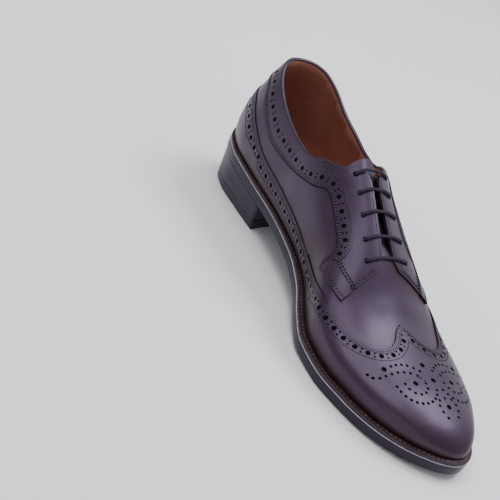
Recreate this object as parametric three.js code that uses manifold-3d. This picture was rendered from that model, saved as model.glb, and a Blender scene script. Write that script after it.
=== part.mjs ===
// A long wing derby brogue for the right foot: upper, tongue, insole, welt, outsole, heel and lace bars.
// Millimetres, +X to the toe, +Y to the foot's inner side (medial), +Z up, floor at Z = 0.
// The origin is the centre of the heel's face on the floor.
import * as THREE from "three";
import { mergeVertices } from "three/addons/utils/BufferGeometryUtils.js";
import Module from "manifold-3d";

// Driving dimensions
const LENGTH = 292; // foot of the upper, heel to toe
const BALL_WIDTH = 94; // foot of the upper, across the ball
const INSTEP = 84; // height of the tallest section of the last over the welt
const HEEL_RISE = 25; // underside of the sole over the floor, at the back
const OUTSOLE = 7; // outsole's thickness
const WELT = 2.2; // welt's thickness
const WALL = 1.8; // upper's wall where it has one layer
const PANEL_STEP = 1; // wing cap and facing band over the wall
const PANEL_DEPTH = 0.75 * WALL; // how far they run into the wall to be one with it
const TONGUE = 2; // tongue's thickness
const LACE_ROOM = 1.2; // between tongue and facings, where the lace crosses out of sight
const INSOLE = 2; // insole's thickness over the upper's foot
const LACE = 2.2; // lace's diameter
const GAP = 0.3; // between pieces that touch

// Worked out from them
const ORIGIN_AT = 0.13; // share of the length at the origin
const BREAST_AT = 0.262; // share of the length at the heel's front
const SLOT_END = 0.622; // share of the length where the throat's slot ends
const TUCK = 2.5; // how far the welt reaches in under the upper's wall
const WIDEST_AROUND = 0.25; // share of the way round at a section's widest point
const UPPER_FOOT = OUTSOLE + GAP + WELT + GAP; // foot of the upper over the sole's underside
const EYELETS = [0.438, 0.475, 0.517, 0.563, 0.602]; // shares of the length at the eyelets
const EYELET_AROUND = 0.79; // share of the way round at the eyelets
const EYELET_RADIUS = 1.7;

// Sections of the last: share of the length, then shares of the ball's width for the lateral and the medial
// edge and the ridge from the heel's axis, a share of the instep for the height, the widest point's share of
// that height, the bulge past the edge as shares of the ball's width, and how full each shoulder is.
const SECTION_COLUMNS = ["at", "lateral", "medial", "ridge", "height", "widest",
  "bulgeLateral", "bulgeMedial", "fullLateral", "fullMedial"];
const SECTIONS = [
  [0, 0, 0, 0, 1, 0.2, 0, 0, 0.52, 0.52],
  [0.02, 0.181, 0.181, 0, 1, 0.2, 0.021, 0.021, 0.52, 0.52],
  [0.06, 0.266, 0.266, 0, 1, 0.2, 0.032, 0.032, 0.52, 0.52],
  [0.12, 0.306, 0.308, 0, 1, 0.2, 0.043, 0.043, 0.52, 0.48],
  [0.2, 0.308, 0.308, -0.02, 1, 0.22, 0.048, 0.053, 0.52, 0.46],
  [0.28, 0.304, 0.26, -0.05, 0.976, 0.26, 0.053, 0.07, 0.54, 0.48],
  [0.36, 0.319, 0.208, -0.075, 0.905, 0.31, 0.059, 0.085, 0.54, 0.52],
  [0.44, 0.343, 0.181, -0.096, 0.786, 0.36, 0.053, 0.085, 0.52, 0.56],
  [0.52, 0.394, 0.229, -0.11, 0.679, 0.38, 0.037, 0.053, 0.46, 0.54],
  [0.6, 0.5, 0.305, -0.115, 0.556, 0.4, 0.027, 0.027, 0.46, 0.48],
  [0.67, 0.574, 0.362, -0.115, 0.414, 0.4, 0.021, 0.021, 0.48, 0.46],
  [0.74, 0.585, 0.37, -0.104, 0.31, 0.4, 0.017, 0.017, 0.52, 0.45],
  [0.81, 0.546, 0.333, -0.076, 0.265, 0.4, 0.015, 0.015, 0.56, 0.49],
  [0.88, 0.479, 0.25, -0.058, 0.236, 0.4, 0.013, 0.013, 0.6, 0.54],
  [0.94, 0.366, 0.14, -0.064, 0.182, 0.4, 0.011, 0.011, 0.6, 0.57],
  [0.98, 0.236, 0.041, -0.076, 0.11, 0.4, 0.006, 0.006, 0.6, 0.57],
  [1, 0.083, -0.083, -0.083, 0, 0.4, 0, 0, 0.6, 0.57],
];

// The sole's underside: share of the length, share of the heel's rise. Level from 0.73 to 0.82.
const UNDERSIDE_COLUMNS = ["at", "rise"];
const UNDERSIDE = [[0, 1], [0.13, 0.86], [0.26, 0.74], [0.34, 0.69], [0.43, 0.58], [0.52, 0.36],
  [0.6, 0.16], [0.67, 0.04], [0.73, 0], [0.82, 0], [0.9, 0.04], [1, 0.15]];

// The welt's width past the upper: share of the length, share of the ball's width.
const WELT_COLUMNS = ["at", "width"];
const WELT_WIDTHS = [[0, 0.032], [0.1, 0.032], [0.3, 0.034], [0.45, 0.04], [0.6, 0.053], [0.8, 0.058],
  [0.93, 0.052], [1, 0.04]];

// Collar, then the facing's front edge: share of the length, share of the way from welt to ridge.
const TOPLINE_COLUMNS = ["at", "around"];
const TOPLINE = [[0, 0.625], [0.04, 0.615], [0.065, 0.595], [0.105, 0.565], [0.15, 0.527], [0.2, 0.493],
  [0.24, 0.472], [0.275, 0.459], [0.305, 0.456], [0.335, 0.481], [0.361, 0.54], [0.391, 0.609], [0.414, 0.7],
  [0.429, 0.81], [0.442, 0.895], [0.455, 0.94], [0.48, 0.955], [0.54, 0.945], [0.6, 0.944], [0.615, 0.962],
  [SLOT_END, 1]];

// The wing cap's edge from the heel's back to the peak on the ridge: along, around.
const WING_EDGE = [[0, 0.4], [0.05, 0.385], [0.095, 0.355], [0.125, 0.325], [0.15, 0.3], [0.175, 0.275],
  [0.208, 0.25], [0.242, 0.225], [0.279, 0.2], [0.326, 0.178], [0.372, 0.162], [0.42, 0.15], [0.47, 0.14],
  [0.52, 0.15], [0.579, 0.22], [0.63, 0.358], [0.668, 0.466], [0.703, 0.54], [0.73, 0.606], [0.754, 0.664],
  [0.768, 0.716], [0.777, 0.786], [0.768, 0.863], [0.75, 0.905], [0.732, 0.94], [0.721, 1]];

// The facing band's lower and rear edge from the heel's back to the tab's corner: along, around.
const BAND_EDGE = [[0, 0.5], [0.05, 0.49], [0.09, 0.455], [0.132, 0.405], [0.17, 0.365], [0.205, 0.34],
  [0.252, 0.33], [0.296, 0.33], [0.33, 0.345], [0.358, 0.375], [0.39, 0.41], [0.411, 0.455], [0.428, 0.5],
  [0.446, 0.524], [0.486, 0.522], [0.537, 0.5], [0.58, 0.42], [0.613, 0.45], [0.65, 0.56]];
// The same band's front edge, along the collar and down the facing to the tab's corner: along only.
const BAND_FRONT = [0, 0.05, 0.09, 0.13, 0.17, 0.205, 0.24, 0.275, 0.305, 0.335, 0.361, 0.391, 0.414, 0.432,
  0.455, 0.5, 0.56, 0.61, 0.65];
// The tab's front edge, from the slot to the tab's corner: along, around.
const TAB_FRONT = [[0.6, 0.93], [0.626, 0.89], [0.642, 0.73], [0.656, 0.56]];

// Grid sizes
const STATIONS = 36; // along the shoe
const CORNER_STATIONS = [0.414, 0.429, 0.442, 0.455]; // more at the facing's top corner
const OUTER_ROWS = 11; // from welt to ridge
const INNER_ROWS = 6;
const PANEL_ROWS = 8;
const BAND_ROWS = 2;
const LACE_SIDES = 8;
const LACE_STEPS = 14;
const PLATE_ROWS = 2; // across a sole, from edge to edge
const STATION_ROOM = 0.009; // least share of the length between an even station and an extra one
const WELD = 0.0005; // corners this close are one
const LATERAL = -1;
const MEDIAL = 1;

const MATERIALS = {
  leather: { color: 0x4a3b44, roughness: 0.42, metalness: 0 },
  lining: { color: 0x8a5a40, roughness: 0.7, metalness: 0 },
  sole: { color: 0x2f2b31, roughness: 0.55, metalness: 0 },
  welt: { color: 0x35292c, roughness: 0.6, metalness: 0 },
  cord: { color: 0x1b181c, roughness: 0.7, metalness: 0 },
};

const wasm = await Module();
wasm.setup();

// Cosine spacing closes the heel and the toe round: turn runs evenly while share crowds to both ends.
function turnOf(share) {
  return Math.acos(1 - 2 * Math.min(Math.max(share, 0), 1)) / Math.PI;
}

function shareOf(turn) {
  return (1 - Math.cos(Math.PI * turn)) / 2;
}

// Slope at the end of a monotone curve, from its first two steps.
function endSlope(stepA, stepB, riseA, riseB) {
  const slope = ((2 * stepA + stepB) * riseA - stepA * riseB) / (stepA + stepB);
  if (Math.sign(slope) !== Math.sign(riseA)) return 0;
  if (Math.sign(riseA) !== Math.sign(riseB) && Math.abs(slope) > 3 * Math.abs(riseA)) return 3 * riseA;
  return slope;
}

// A smooth curve through (x, y) that never overshoots between two of them.
function monotone(xs, ys) {
  const last = xs.length - 1;
  const steps = xs.slice(1).map((x, i) => x - xs[i]);
  const rises = steps.map((step, i) => (ys[i + 1] - ys[i]) / step);
  const slopes = xs.map((_, i) => {
    if (i === 0) return endSlope(steps[0], steps[1], rises[0], rises[1]);
    if (i === last) return endSlope(steps[last - 1], steps[last - 2], rises[last - 1], rises[last - 2]);
    if (rises[i - 1] * rises[i] <= 0) return 0;
    const weightA = 2 * steps[i] + steps[i - 1];
    const weightB = steps[i] + 2 * steps[i - 1];
    return (weightA + weightB) / (weightA / rises[i - 1] + weightB / rises[i]);
  });
  return (x) => {
    let i = 0;
    while (i < last - 1 && x > xs[i + 1]) i += 1;
    const t = Math.min(Math.max((x - xs[i]) / steps[i], 0), 1);
    const a = (1 + 2 * t) * (1 - t) * (1 - t) * ys[i] + t * (1 - t) * (1 - t) * steps[i] * slopes[i];
    return a + t * t * (3 - 2 * t) * ys[i + 1] + t * t * (t - 1) * steps[i] * slopes[i + 1];
  };
}

// One curve for each column of a table after the first.
function tableCurves(columns, rows, place) {
  const xs = rows.map((row) => place(row[0]));
  const curves = columns.slice(1).map((name, i) => [name, monotone(xs, rows.map((row) => row[i + 1]))]);
  return Object.fromEntries(curves);
}

const sections = tableCurves(SECTION_COLUMNS, SECTIONS, turnOf);
const underside = tableCurves(UNDERSIDE_COLUMNS, UNDERSIDE, (share) => share);
const weltTable = tableCurves(WELT_COLUMNS, WELT_WIDTHS, (share) => share);
const toplineTable = tableCurves(TOPLINE_COLUMNS, TOPLINE, (share) => share);
// How far the heel's back leans forward: share of the collar's height, share of the length.
const HEEL_LEAN = monotone([0, 0.3, 0.6, 1, 1.4], [0, -0.003, 0.008, 0.034, 0.062]);
const COLLAR_HEIGHT = 0.715; // share of the instep
const LEAN_REACH = 0.24; // share of the length over which the lean fades out

function undersideZ(share) {
  return HEEL_RISE * underside.rise(share);
}

function topline(share) {
  return share >= SLOT_END ? 1 : toplineTable.around(share);
}

// A point of the last: turn along, around from welt (0) to ridge (1), on one side.
function lastPoint(turn, around, side) {
  const at = (name) => sections[name](turn);
  const sideName = side === LATERAL ? "Lateral" : "Medial";
  const ridge = at("ridge") * BALL_WIDTH;
  const edge = at(sideName.toLowerCase()) * BALL_WIDTH - side * ridge;
  const wide = edge + at(`bulge${sideName}`) * BALL_WIDTH;
  const height = at("height") * INSTEP;
  const low = at("widest") * height;
  const full = at(`full${sideName}`);
  let y;
  let z;
  if (around < WIDEST_AROUND) {
    const t = around / WIDEST_AROUND;
    y = wide - (wide - edge) * (1 - t) * (1 - t);
    z = low * t;
  } else {
    const t = (around - WIDEST_AROUND) / (1 - WIDEST_AROUND);
    const b = [(1 - t) ** 3, 3 * (1 - t) ** 2 * t, 3 * (1 - t) * t * t, t ** 3];
    y = (b[0] + b[1]) * wide + b[2] * full * wide;
    z = b[0] * low + b[1] * (low + full * (height - low)) + (b[2] + b[3]) * height;
  }
  const share = shareOf(turn);
  const fade = Math.max(1 - share / LEAN_REACH, 0) ** 2;
  const lean = HEEL_LEAN(z / (COLLAR_HEIGHT * INSTEP)) * LENGTH * fade;
  const foot = undersideZ(share) + UPPER_FOOT;
  return new THREE.Vector3((share - ORIGIN_AT) * LENGTH + lean, ridge + side * y, foot + z);
}

// The same point moved out of the last along its normal; the foot of the upper moves level.
function shoePoint([share, around, side], offset) {
  const onSeam = around >= 1 || share <= 0 || share >= 1;
  const half = onSeam ? LATERAL : side;
  const turn = turnOf(share);
  const point = lastPoint(turn, Math.min(around, 1), half);
  if (share >= 1) return point.add(new THREE.Vector3(offset, 0, 0));
  const small = 0.002;
  const [behind, ahead] = [Math.max(turn - small, 0), Math.min(turn + small, 1)];
  const [below, above] = [Math.max(around - small, 0), Math.min(around + small, 1)];
  const along = lastPoint(ahead, around, half).sub(lastPoint(behind, around, half));
  const up = lastPoint(turn, above, half).sub(lastPoint(turn, below, half));
  const normal = along.cross(up).multiplyScalar(-half);
  if (share <= 0) normal.y = 0;
  if (around <= 0) normal.z = 0;
  return point.addScaledVector(normal.normalize(), offset);
}

// A smooth curve through 2D places, sampled evenly.
function throughPlaces(places, count) {
  const curve = new THREE.SplineCurve(places.map(([x, y]) => new THREE.Vector2(x, y)));
  return Array.from({ length: count + 1 }, (_, i) => curve.getPoint(i / count).toArray());
}

// Gathers triangles, welds their corners and drops faces that meet back to back.
class Skin {
  constructor() {
    this.points = [];
    this.keys = new Map();
    this.faces = [];
  }

  corner(point) {
    const key = point.toArray().map((value) => Math.round(value / WELD)).join();
    if (!this.keys.has(key)) {
      this.keys.set(key, this.points.length);
      this.points.push(point);
    }
    return this.keys.get(key);
  }

  face(a, b, c) {
    if (a !== b && b !== c && c !== a) this.faces.push([a, b, c]);
  }

  // A sheet of quads between rows of points, wound so that it faces outward when flip is false.
  sheet(rows, flip) {
    const ids = rows.map((row) => row.map((point) => this.corner(point)));
    for (let i = 0; i + 1 < ids.length; i += 1) {
      for (let j = 0; j + 1 < ids[i].length; j += 1) {
        const [a, b, c, d] = [ids[i][j], ids[i][j + 1], ids[i + 1][j + 1], ids[i + 1][j]];
        if (flip) {
          this.face(a, c, b);
          this.face(a, d, c);
        } else {
          this.face(a, b, c);
          this.face(a, c, d);
        }
      }
    }
  }

  geometry() {
    const twins = new Map();
    this.faces.forEach((face) => {
      const key = [...face].sort((a, b) => a - b).join();
      twins.set(key, (twins.get(key) ?? 0) + 1);
    });
    const kept = this.faces.filter((face) => twins.get([...face].sort((a, b) => a - b).join()) === 1);
    const numbers = this.points.flatMap((point) => point.toArray());
    const geometry = new THREE.BufferGeometry();
    geometry.setAttribute("position", new THREE.Float32BufferAttribute(numbers, 3));
    geometry.setIndex(kept.flat());
    return geometry;
  }
}

// A closed piece of the shoe's skin over a grid of places on each side, from the inner to the outer offset.
function skinPiece(grids, inner, outer) {
  const skin = new Skin();
  grids.forEach((grid) => {
    const flip = grid[0][0][2] === LATERAL;
    const out = grid.map((row) => row.map((place) => shoePoint(place, outer)));
    const into = grid.map((row) => row.map((place) => shoePoint(place, inner)));
    skin.sheet(out, !flip);
    skin.sheet(into, flip);
    const last = grid.length - 1;
    const edge = grid[0].length - 1;
    skin.sheet([out[0], into[0]], flip);
    skin.sheet([out[last], into[last]], !flip);
    skin.sheet([out.map((row) => row[0]), into.map((row) => row[0])], !flip);
    skin.sheet([out.map((row) => row[edge]), into.map((row) => row[edge])], flip);
  });
  return skin.geometry();
}

// Grids of places [share, around, side] for both sides. Row 0 lies lowest, column 0 at the heel.
function bothSides(makeGrid) {
  return [LATERAL, MEDIAL].map((side) =>
    makeGrid().map((row) => row.map(([share, around]) => [share, around, side])));
}

function blend(a, b, t) {
  return [shareOf(turnOf(a[0]) + (turnOf(b[0]) - turnOf(a[0])) * t), a[1] + (b[1] - a[1]) * t];
}

// The shares of the length at the stations: even in turn, with one at the slot's end and more at the corner.
function stationShares() {
  const even = Array.from({ length: STATIONS + 1 }, (_, i) => shareOf(i / STATIONS));
  const extra = [...CORNER_STATIONS, SLOT_END];
  const clear = even.filter((share) => extra.every((other) => Math.abs(other - share) > STATION_ROOM));
  return [...clear, ...extra].sort((a, b) => a - b);
}

// The wall everywhere from welt to collar, slot and ridge, with fewer rows inside than outside.
function baseShell() {
  const shares = stationShares();
  const skin = new Skin();
  [LATERAL, MEDIAL].forEach((side) => {
    const flip = side === LATERAL;
    const layer = (rows, offset) => Array.from({ length: rows + 1 }, (_, j) =>
      shares.map((share) => shoePoint([share, (j / rows) * topline(share), side], offset)));
    const out = layer(OUTER_ROWS, 0);
    const into = layer(INNER_ROWS, -WALL);
    skin.sheet(out, !flip);
    skin.sheet(into, flip);
    skin.sheet([out[0], into[0]], flip);
    skin.sheet([out.at(-1), into.at(-1)], !flip);
  });
  return skin.geometry();
}

// The wing cap: from its edge down to the welt, round the toe's tip and back along the ridge to the peak.
function wingCap() {
  const columns = 46;
  const [tipStart, tipEnd] = [27, 35]; // columns that turn about the toe's tip
  const low = 0.02; // the cap's foot stays this share of the way round over the welt
  const edge = throughPlaces(WING_EDGE, columns);
  const peak = WING_EDGE.at(-1);
  const foot = edge.map((_, i) => {
    if (i <= tipStart) return blend([0, low], [1, low], i / tipStart);
    if (i <= tipEnd) return blend([1, low], [1, 1], (i - tipStart) / (tipEnd - tipStart));
    return blend([1, 1], peak, (i - tipEnd) / (columns - tipEnd));
  });
  const grids = bothSides(() => Array.from({ length: PANEL_ROWS + 1 }, (_, j) =>
    edge.map((place, i) => blend(foot[i], place, j / PANEL_ROWS))));
  return skinPiece(grids, -PANEL_DEPTH, PANEL_STEP);
}

// The band along the collar and down the facing to the tab.
function facingBand() {
  const columns = 36;
  const inset = 0.012; // the band's top edge under the collar's rim
  const low = throughPlaces(BAND_EDGE, columns);
  const front = throughPlaces(BAND_FRONT.map((share, i) => [share, i]), columns).map(([share]) => share);
  const tabStart = TAB_FRONT[0][0];
  const tabEdge = tableCurves(["at", "around"], TAB_FRONT, (share) => share);
  const topOf = (share) => (share < tabStart ? topline(share) - inset : tabEdge.around(share));
  const high = front.map((share) => [share, topOf(share)]);
  const grids = bothSides(() => Array.from({ length: BAND_ROWS + 1 }, (_, j) =>
    low.map((place, i) => blend(place, high[i], j / BAND_ROWS))));
  return skinPiece(grids, -PANEL_DEPTH, PANEL_STEP);
}

// A mesh's geometry as a solid, and back.
function solidOf(geometry) {
  const clean = geometry.clone();
  clean.deleteAttribute("normal");
  clean.deleteAttribute("uv");
  const merged = mergeVertices(clean, 1e-4);
  return new wasm.Manifold(new wasm.Mesh({
    numProp: 3,
    vertProperties: new Float32Array(merged.attributes.position.array),
    triVerts: new Uint32Array(merged.index.array),
  }));
}

function geometryOf(solid) {
  const mesh = solid.getMesh();
  const geometry = new THREE.BufferGeometry();
  geometry.setAttribute("position", new THREE.Float32BufferAttribute(mesh.vertProperties, 3));
  geometry.setIndex([...mesh.triVerts]);
  return geometry;
}

// A drill through the facing at one eyelet.
function eyeletDrill(share, side) {
  const place = [share, EYELET_AROUND, side];
  const low = shoePoint(place, -2 * WALL);
  const high = shoePoint(place, 2 * WALL);
  const drill = new THREE.CylinderGeometry(EYELET_RADIUS, EYELET_RADIUS, low.distanceTo(high), LACE_SIDES);
  const axis = high.clone().sub(low).normalize();
  drill.applyQuaternion(new THREE.Quaternion().setFromUnitVectors(new THREE.Vector3(0, 1, 0), axis));
  drill.translate(...low.add(high).multiplyScalar(0.5).toArray());
  return drill;
}

function upperGeometry() {
  let solid = solidOf(baseShell());
  [wingCap(), facingBand()].forEach((panel) => {
    solid = solid.add(solidOf(panel));
  });
  EYELETS.forEach((share) => {
    [LATERAL, MEDIAL].forEach((side) => {
      solid = solid.subtract(solidOf(eyeletDrill(share, side)));
    });
  });
  // Pockets shut in between two layers' facets count as leather.
  const [body] = solid.decompose().sort((a, b) => b.volume() - a.volume());
  return geometryOf(body);
}

// The tongue lies under the slot, from above the collar to under the vamp.
function tongueGeometry() {
  const [back, front, edge, corner] = [0.4, 0.655, 0.62, 0.02];
  const columns = 10;
  const rows = 4;
  const grids = bothSides(() => Array.from({ length: rows + 1 }, (_, j) =>
    Array.from({ length: columns + 1 }, (_, i) => {
      const round = corner * (1 - j / rows) ** 2;
      return [back + round + (front - back - round) * (i / columns), edge + (1 - edge) * (j / rows)];
    })));
  const outer = -WALL - GAP - LACE_ROOM;
  return skinPiece(grids, outer - TONGUE, outer);
}

// The foot of the last as a loop of stations, lateral side out and medial side back.
function footLoop() {
  const shares = Array.from({ length: STATIONS + 1 }, (_, i) => shareOf(i / STATIONS));
  const places = [
    ...shares.map((share) => ({ share, side: LATERAL })),
    ...shares.slice(1, -1).reverse().map((share) => ({ share, side: MEDIAL })),
  ];
  const plan = places.map(({ share, side }) => {
    const point = lastPoint(turnOf(share), 0, side);
    return new THREE.Vector2((share - ORIGIN_AT) * LENGTH, point.y);
  });
  return places.map((place, i) => {
    const before = plan[(i + plan.length - 1) % plan.length];
    const after = plan[(i + 1) % plan.length];
    const out = new THREE.Vector2(after.y - before.y, before.x - after.x).normalize();
    return { ...place, plan: plan[i], out };
  });
}

const FOOT = footLoop();

// The loop pushed out from the last's foot and set over the sole's underside.
function loopAt(push, lift) {
  return FOOT.map(({ share, plan, out }) => {
    const moved = plan.clone().addScaledVector(out, push(share));
    return new THREE.Vector3(moved.x, moved.y, undersideZ(share) + lift(share));
  });
}

// Rows across a loop, edge to edge, one for each station.
function acrossLoop(loop, shift = () => 0) {
  const stations = loop.length / 2;
  return Array.from({ length: stations + 1 }, (_, i) => {
    const lateral = loop[i];
    const medial = loop[(loop.length - i) % loop.length];
    return Array.from({ length: PLATE_ROWS + 1 }, (_, j) => {
      const point = lateral.clone().lerp(medial, j / PLATE_ROWS);
      point.x += shift(i, j / PLATE_ROWS);
      return point;
    });
  });
}

// A closed plate through loops from its underside to its top.
function plate(loops) {
  const skin = new Skin();
  skin.sheet(acrossLoop(loops[0]), false);
  skin.sheet(acrossLoop(loops.at(-1)), true);
  loops.slice(1).forEach((loop, i) => {
    skin.sheet([[...loops[i], loops[i][0]], [...loop, loop[0]]], false);
  });
  return skin.geometry();
}

function weltWidth(share) {
  return BALL_WIDTH * weltTable.width(share);
}

// The outsole's side leans in a little to its underside.
function outsoleGeometry() {
  const leanIn = 0.2;
  const under = loopAt((share) => weltWidth(share) - leanIn, () => 0);
  const over = loopAt(weltWidth, () => OUTSOLE);
  return plate([under, over]);
}

// The welt: a ring under the upper's wall that stands out past it all round.
function weltGeometry() {
  const low = OUTSOLE + GAP;
  const loops = [
    loopAt(() => -WALL - TUCK, () => low),
    loopAt(weltWidth, () => low),
    loopAt(weltWidth, () => low + WELT),
    loopAt(() => -WALL - TUCK, () => low + WELT),
  ];
  const skin = new Skin();
  loops.forEach((loop, i) => {
    const next = loops[(i + 1) % loops.length];
    skin.sheet([[...loop, loop[0]], [...next, next[0]]], false);
  });
  return skin.geometry();
}

// The insole fills the welt's ring and spreads over it to the upper's wall, with a bevelled edge.
function insoleGeometry() {
  const ring = -WALL - TUCK - GAP;
  const wall = -WALL - 3 * GAP;
  const bevel = 1.5 * INSOLE;
  const step = UPPER_FOOT + GAP;
  return plate([
    loopAt(() => ring, () => OUTSOLE + GAP),
    loopAt(() => ring, () => step),
    loopAt(() => wall, () => step),
    loopAt(() => wall - bevel, () => step + INSOLE),
  ]);
}

// The heel: tapered to the floor, its breast a shallow hollow.
function heelGeometry() {
  const columns = 12;
  const [insetTop, insetFloor, hollow] = [0.8, 3.4, 5];
  const halfLoop = (side, inset, top) => Array.from({ length: columns + 1 }, (_, i) => {
    const share = BREAST_AT * (i / columns) ** 2;
    const nearest = FOOT.filter((place) => place.side === side || place.share === 0);
    const plan = sampleFoot(nearest, share, weltWidth(share) - inset);
    return new THREE.Vector3(plan.x, plan.y, top ? undersideZ(share) - GAP : 0);
  });
  const rows = (inset, top) => {
    const lateral = halfLoop(LATERAL, inset, top);
    const medial = halfLoop(MEDIAL, inset, top);
    return lateral.map((from, i) => Array.from({ length: 2 * PLATE_ROWS + 1 }, (_, j) => {
      const t = j / (2 * PLATE_ROWS);
      const point = from.clone().lerp(medial[i], t);
      point.x -= hollow * 4 * t * (1 - t) * (i / columns) ** 3;
      return point;
    }));
  };
  const top = rows(insetTop, true);
  const floor = rows(insetFloor, false);
  const skin = new Skin();
  const edge = 2 * PLATE_ROWS;
  skin.sheet(floor, false);
  skin.sheet(top, true);
  skin.sheet([floor.map((row) => row[0]), top.map((row) => row[0])], false);
  skin.sheet([floor.map((row) => row[edge]), top.map((row) => row[edge])], true);
  skin.sheet([floor.at(-1), top.at(-1)], false);
  skin.sheet([floor[0], top[0]], true);
  return skin.geometry();
}

// A place on one side of the foot loop at any share, pushed out.
function sampleFoot(places, share, push) {
  const ordered = [...places].sort((a, b) => a.share - b.share);
  const i = Math.min(Math.max(ordered.findIndex((place) => place.share >= share), 1), ordered.length - 1);
  const [a, b] = [ordered[i - 1], ordered[i]];
  const t = (turnOf(share) - turnOf(a.share)) / (turnOf(b.share) - turnOf(a.share));
  return a.plan.clone().lerp(b.plan, t).addScaledVector(a.out.clone().lerp(b.out, t).normalize(), push);
}

// One lace bar: out of the lateral eyelet, straight over the slot and down into the medial one.
function laceBarGeometry(share) {
  const rest = PANEL_STEP;
  const over = rest + GAP + LACE / 2;
  const dip = 0.55 * LACE; // how far the bar's ends reach into the eyelets
  const half = (side) => [
    [EYELET_AROUND, rest - dip],
    [EYELET_AROUND, rest],
    [EYELET_AROUND + 0.004, rest + 0.7 * (over - rest)],
    [EYELET_AROUND + 0.019, over],
    [EYELET_AROUND + 0.06, over + 0.1],
    [0.93, over + 0.1],
  ].map(([around, offset]) => shoePoint([share, around, side], offset));
  const path = new THREE.CatmullRomCurve3([...half(LATERAL), ...half(MEDIAL).reverse()]);
  const ring = Array.from({ length: LACE_SIDES }, (_, i) => {
    const angle = (2 * Math.PI * i) / LACE_SIDES;
    return new THREE.Vector2(Math.cos(angle), Math.sin(angle)).multiplyScalar(LACE / 2);
  });
  const options = { steps: LACE_STEPS, extrudePath: path, bevelEnabled: false };
  return new THREE.ExtrudeGeometry(new THREE.Shape(ring), options);
}

function piece(name, geometry, material) {
  const mesh = new THREE.Mesh(geometry, new THREE.MeshStandardMaterial(MATERIALS[material]));
  mesh.name = name;
  return mesh;
}

const group = new THREE.Group();
group.add(piece("upper", upperGeometry(), "leather"));
group.add(piece("tongue", tongueGeometry(), "leather"));
group.add(piece("insole", insoleGeometry(), "lining"));
group.add(piece("welt", weltGeometry(), "welt"));
group.add(piece("outsole", outsoleGeometry(), "sole"));
group.add(piece("heel", heelGeometry(), "sole"));
EYELETS.forEach((share, i) => {
  group.add(piece(`lace_bar_${i + 1}`, laceBarGeometry(share), "cord"));
});

export default group;
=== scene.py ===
# %% [markdown]
# A wing-tip brogue, dressed over a fixed frame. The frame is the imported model: plain solids at their real size.
# Every piece here is made in metres in the same frame, so nothing has to be fitted afterwards. The frame comes
# first because its box is the one that the finished shoe has to stay in.

import bpy
import numpy as np
from mathutils import Matrix, Vector, kdtree
from mathutils.geometry import delaunay_2d_cdt


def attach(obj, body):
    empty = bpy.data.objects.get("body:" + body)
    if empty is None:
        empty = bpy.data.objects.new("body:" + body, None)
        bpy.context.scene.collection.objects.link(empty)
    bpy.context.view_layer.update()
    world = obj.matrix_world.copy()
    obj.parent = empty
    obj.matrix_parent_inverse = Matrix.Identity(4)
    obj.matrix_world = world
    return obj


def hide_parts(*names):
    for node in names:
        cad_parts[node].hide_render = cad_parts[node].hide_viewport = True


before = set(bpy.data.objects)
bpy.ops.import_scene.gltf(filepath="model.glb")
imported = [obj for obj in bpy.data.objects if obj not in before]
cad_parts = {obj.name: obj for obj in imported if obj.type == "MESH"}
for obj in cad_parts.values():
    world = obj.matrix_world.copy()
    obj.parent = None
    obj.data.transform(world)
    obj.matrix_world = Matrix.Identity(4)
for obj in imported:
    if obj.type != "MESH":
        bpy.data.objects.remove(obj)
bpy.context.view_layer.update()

# %% [markdown]
# Leather takes its shape from a wooden last. The last could be sculpted, but then holes and seams would have to
# be drawn on it by eye. Here it is a function instead: sections along the shoe, each with a few shares of the
# ball's width and of the instep. Every panel, hole and stitch is a place on that function, so all of them fit.

# %% Sizes of the shoe
MM = 0.001
LENGTH = 292 * MM
BALL_WIDTH = 94 * MM
INSTEP = 84 * MM
HEEL_RISE = 25 * MM
OUTSOLE = 7 * MM
WELT = 2.2 * MM
WALL = 1.8 * MM
GAP = 0.3 * MM
ORIGIN_AT = 0.13
BREAST_AT = 0.262
SLOT_END = 0.622
UPPER_FOOT = OUTSOLE + GAP + WELT + GAP
WIDEST_AROUND = 0.25
EYELETS = (0.438, 0.475, 0.517, 0.563, 0.602)
EYELET_AROUND = 0.79

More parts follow.
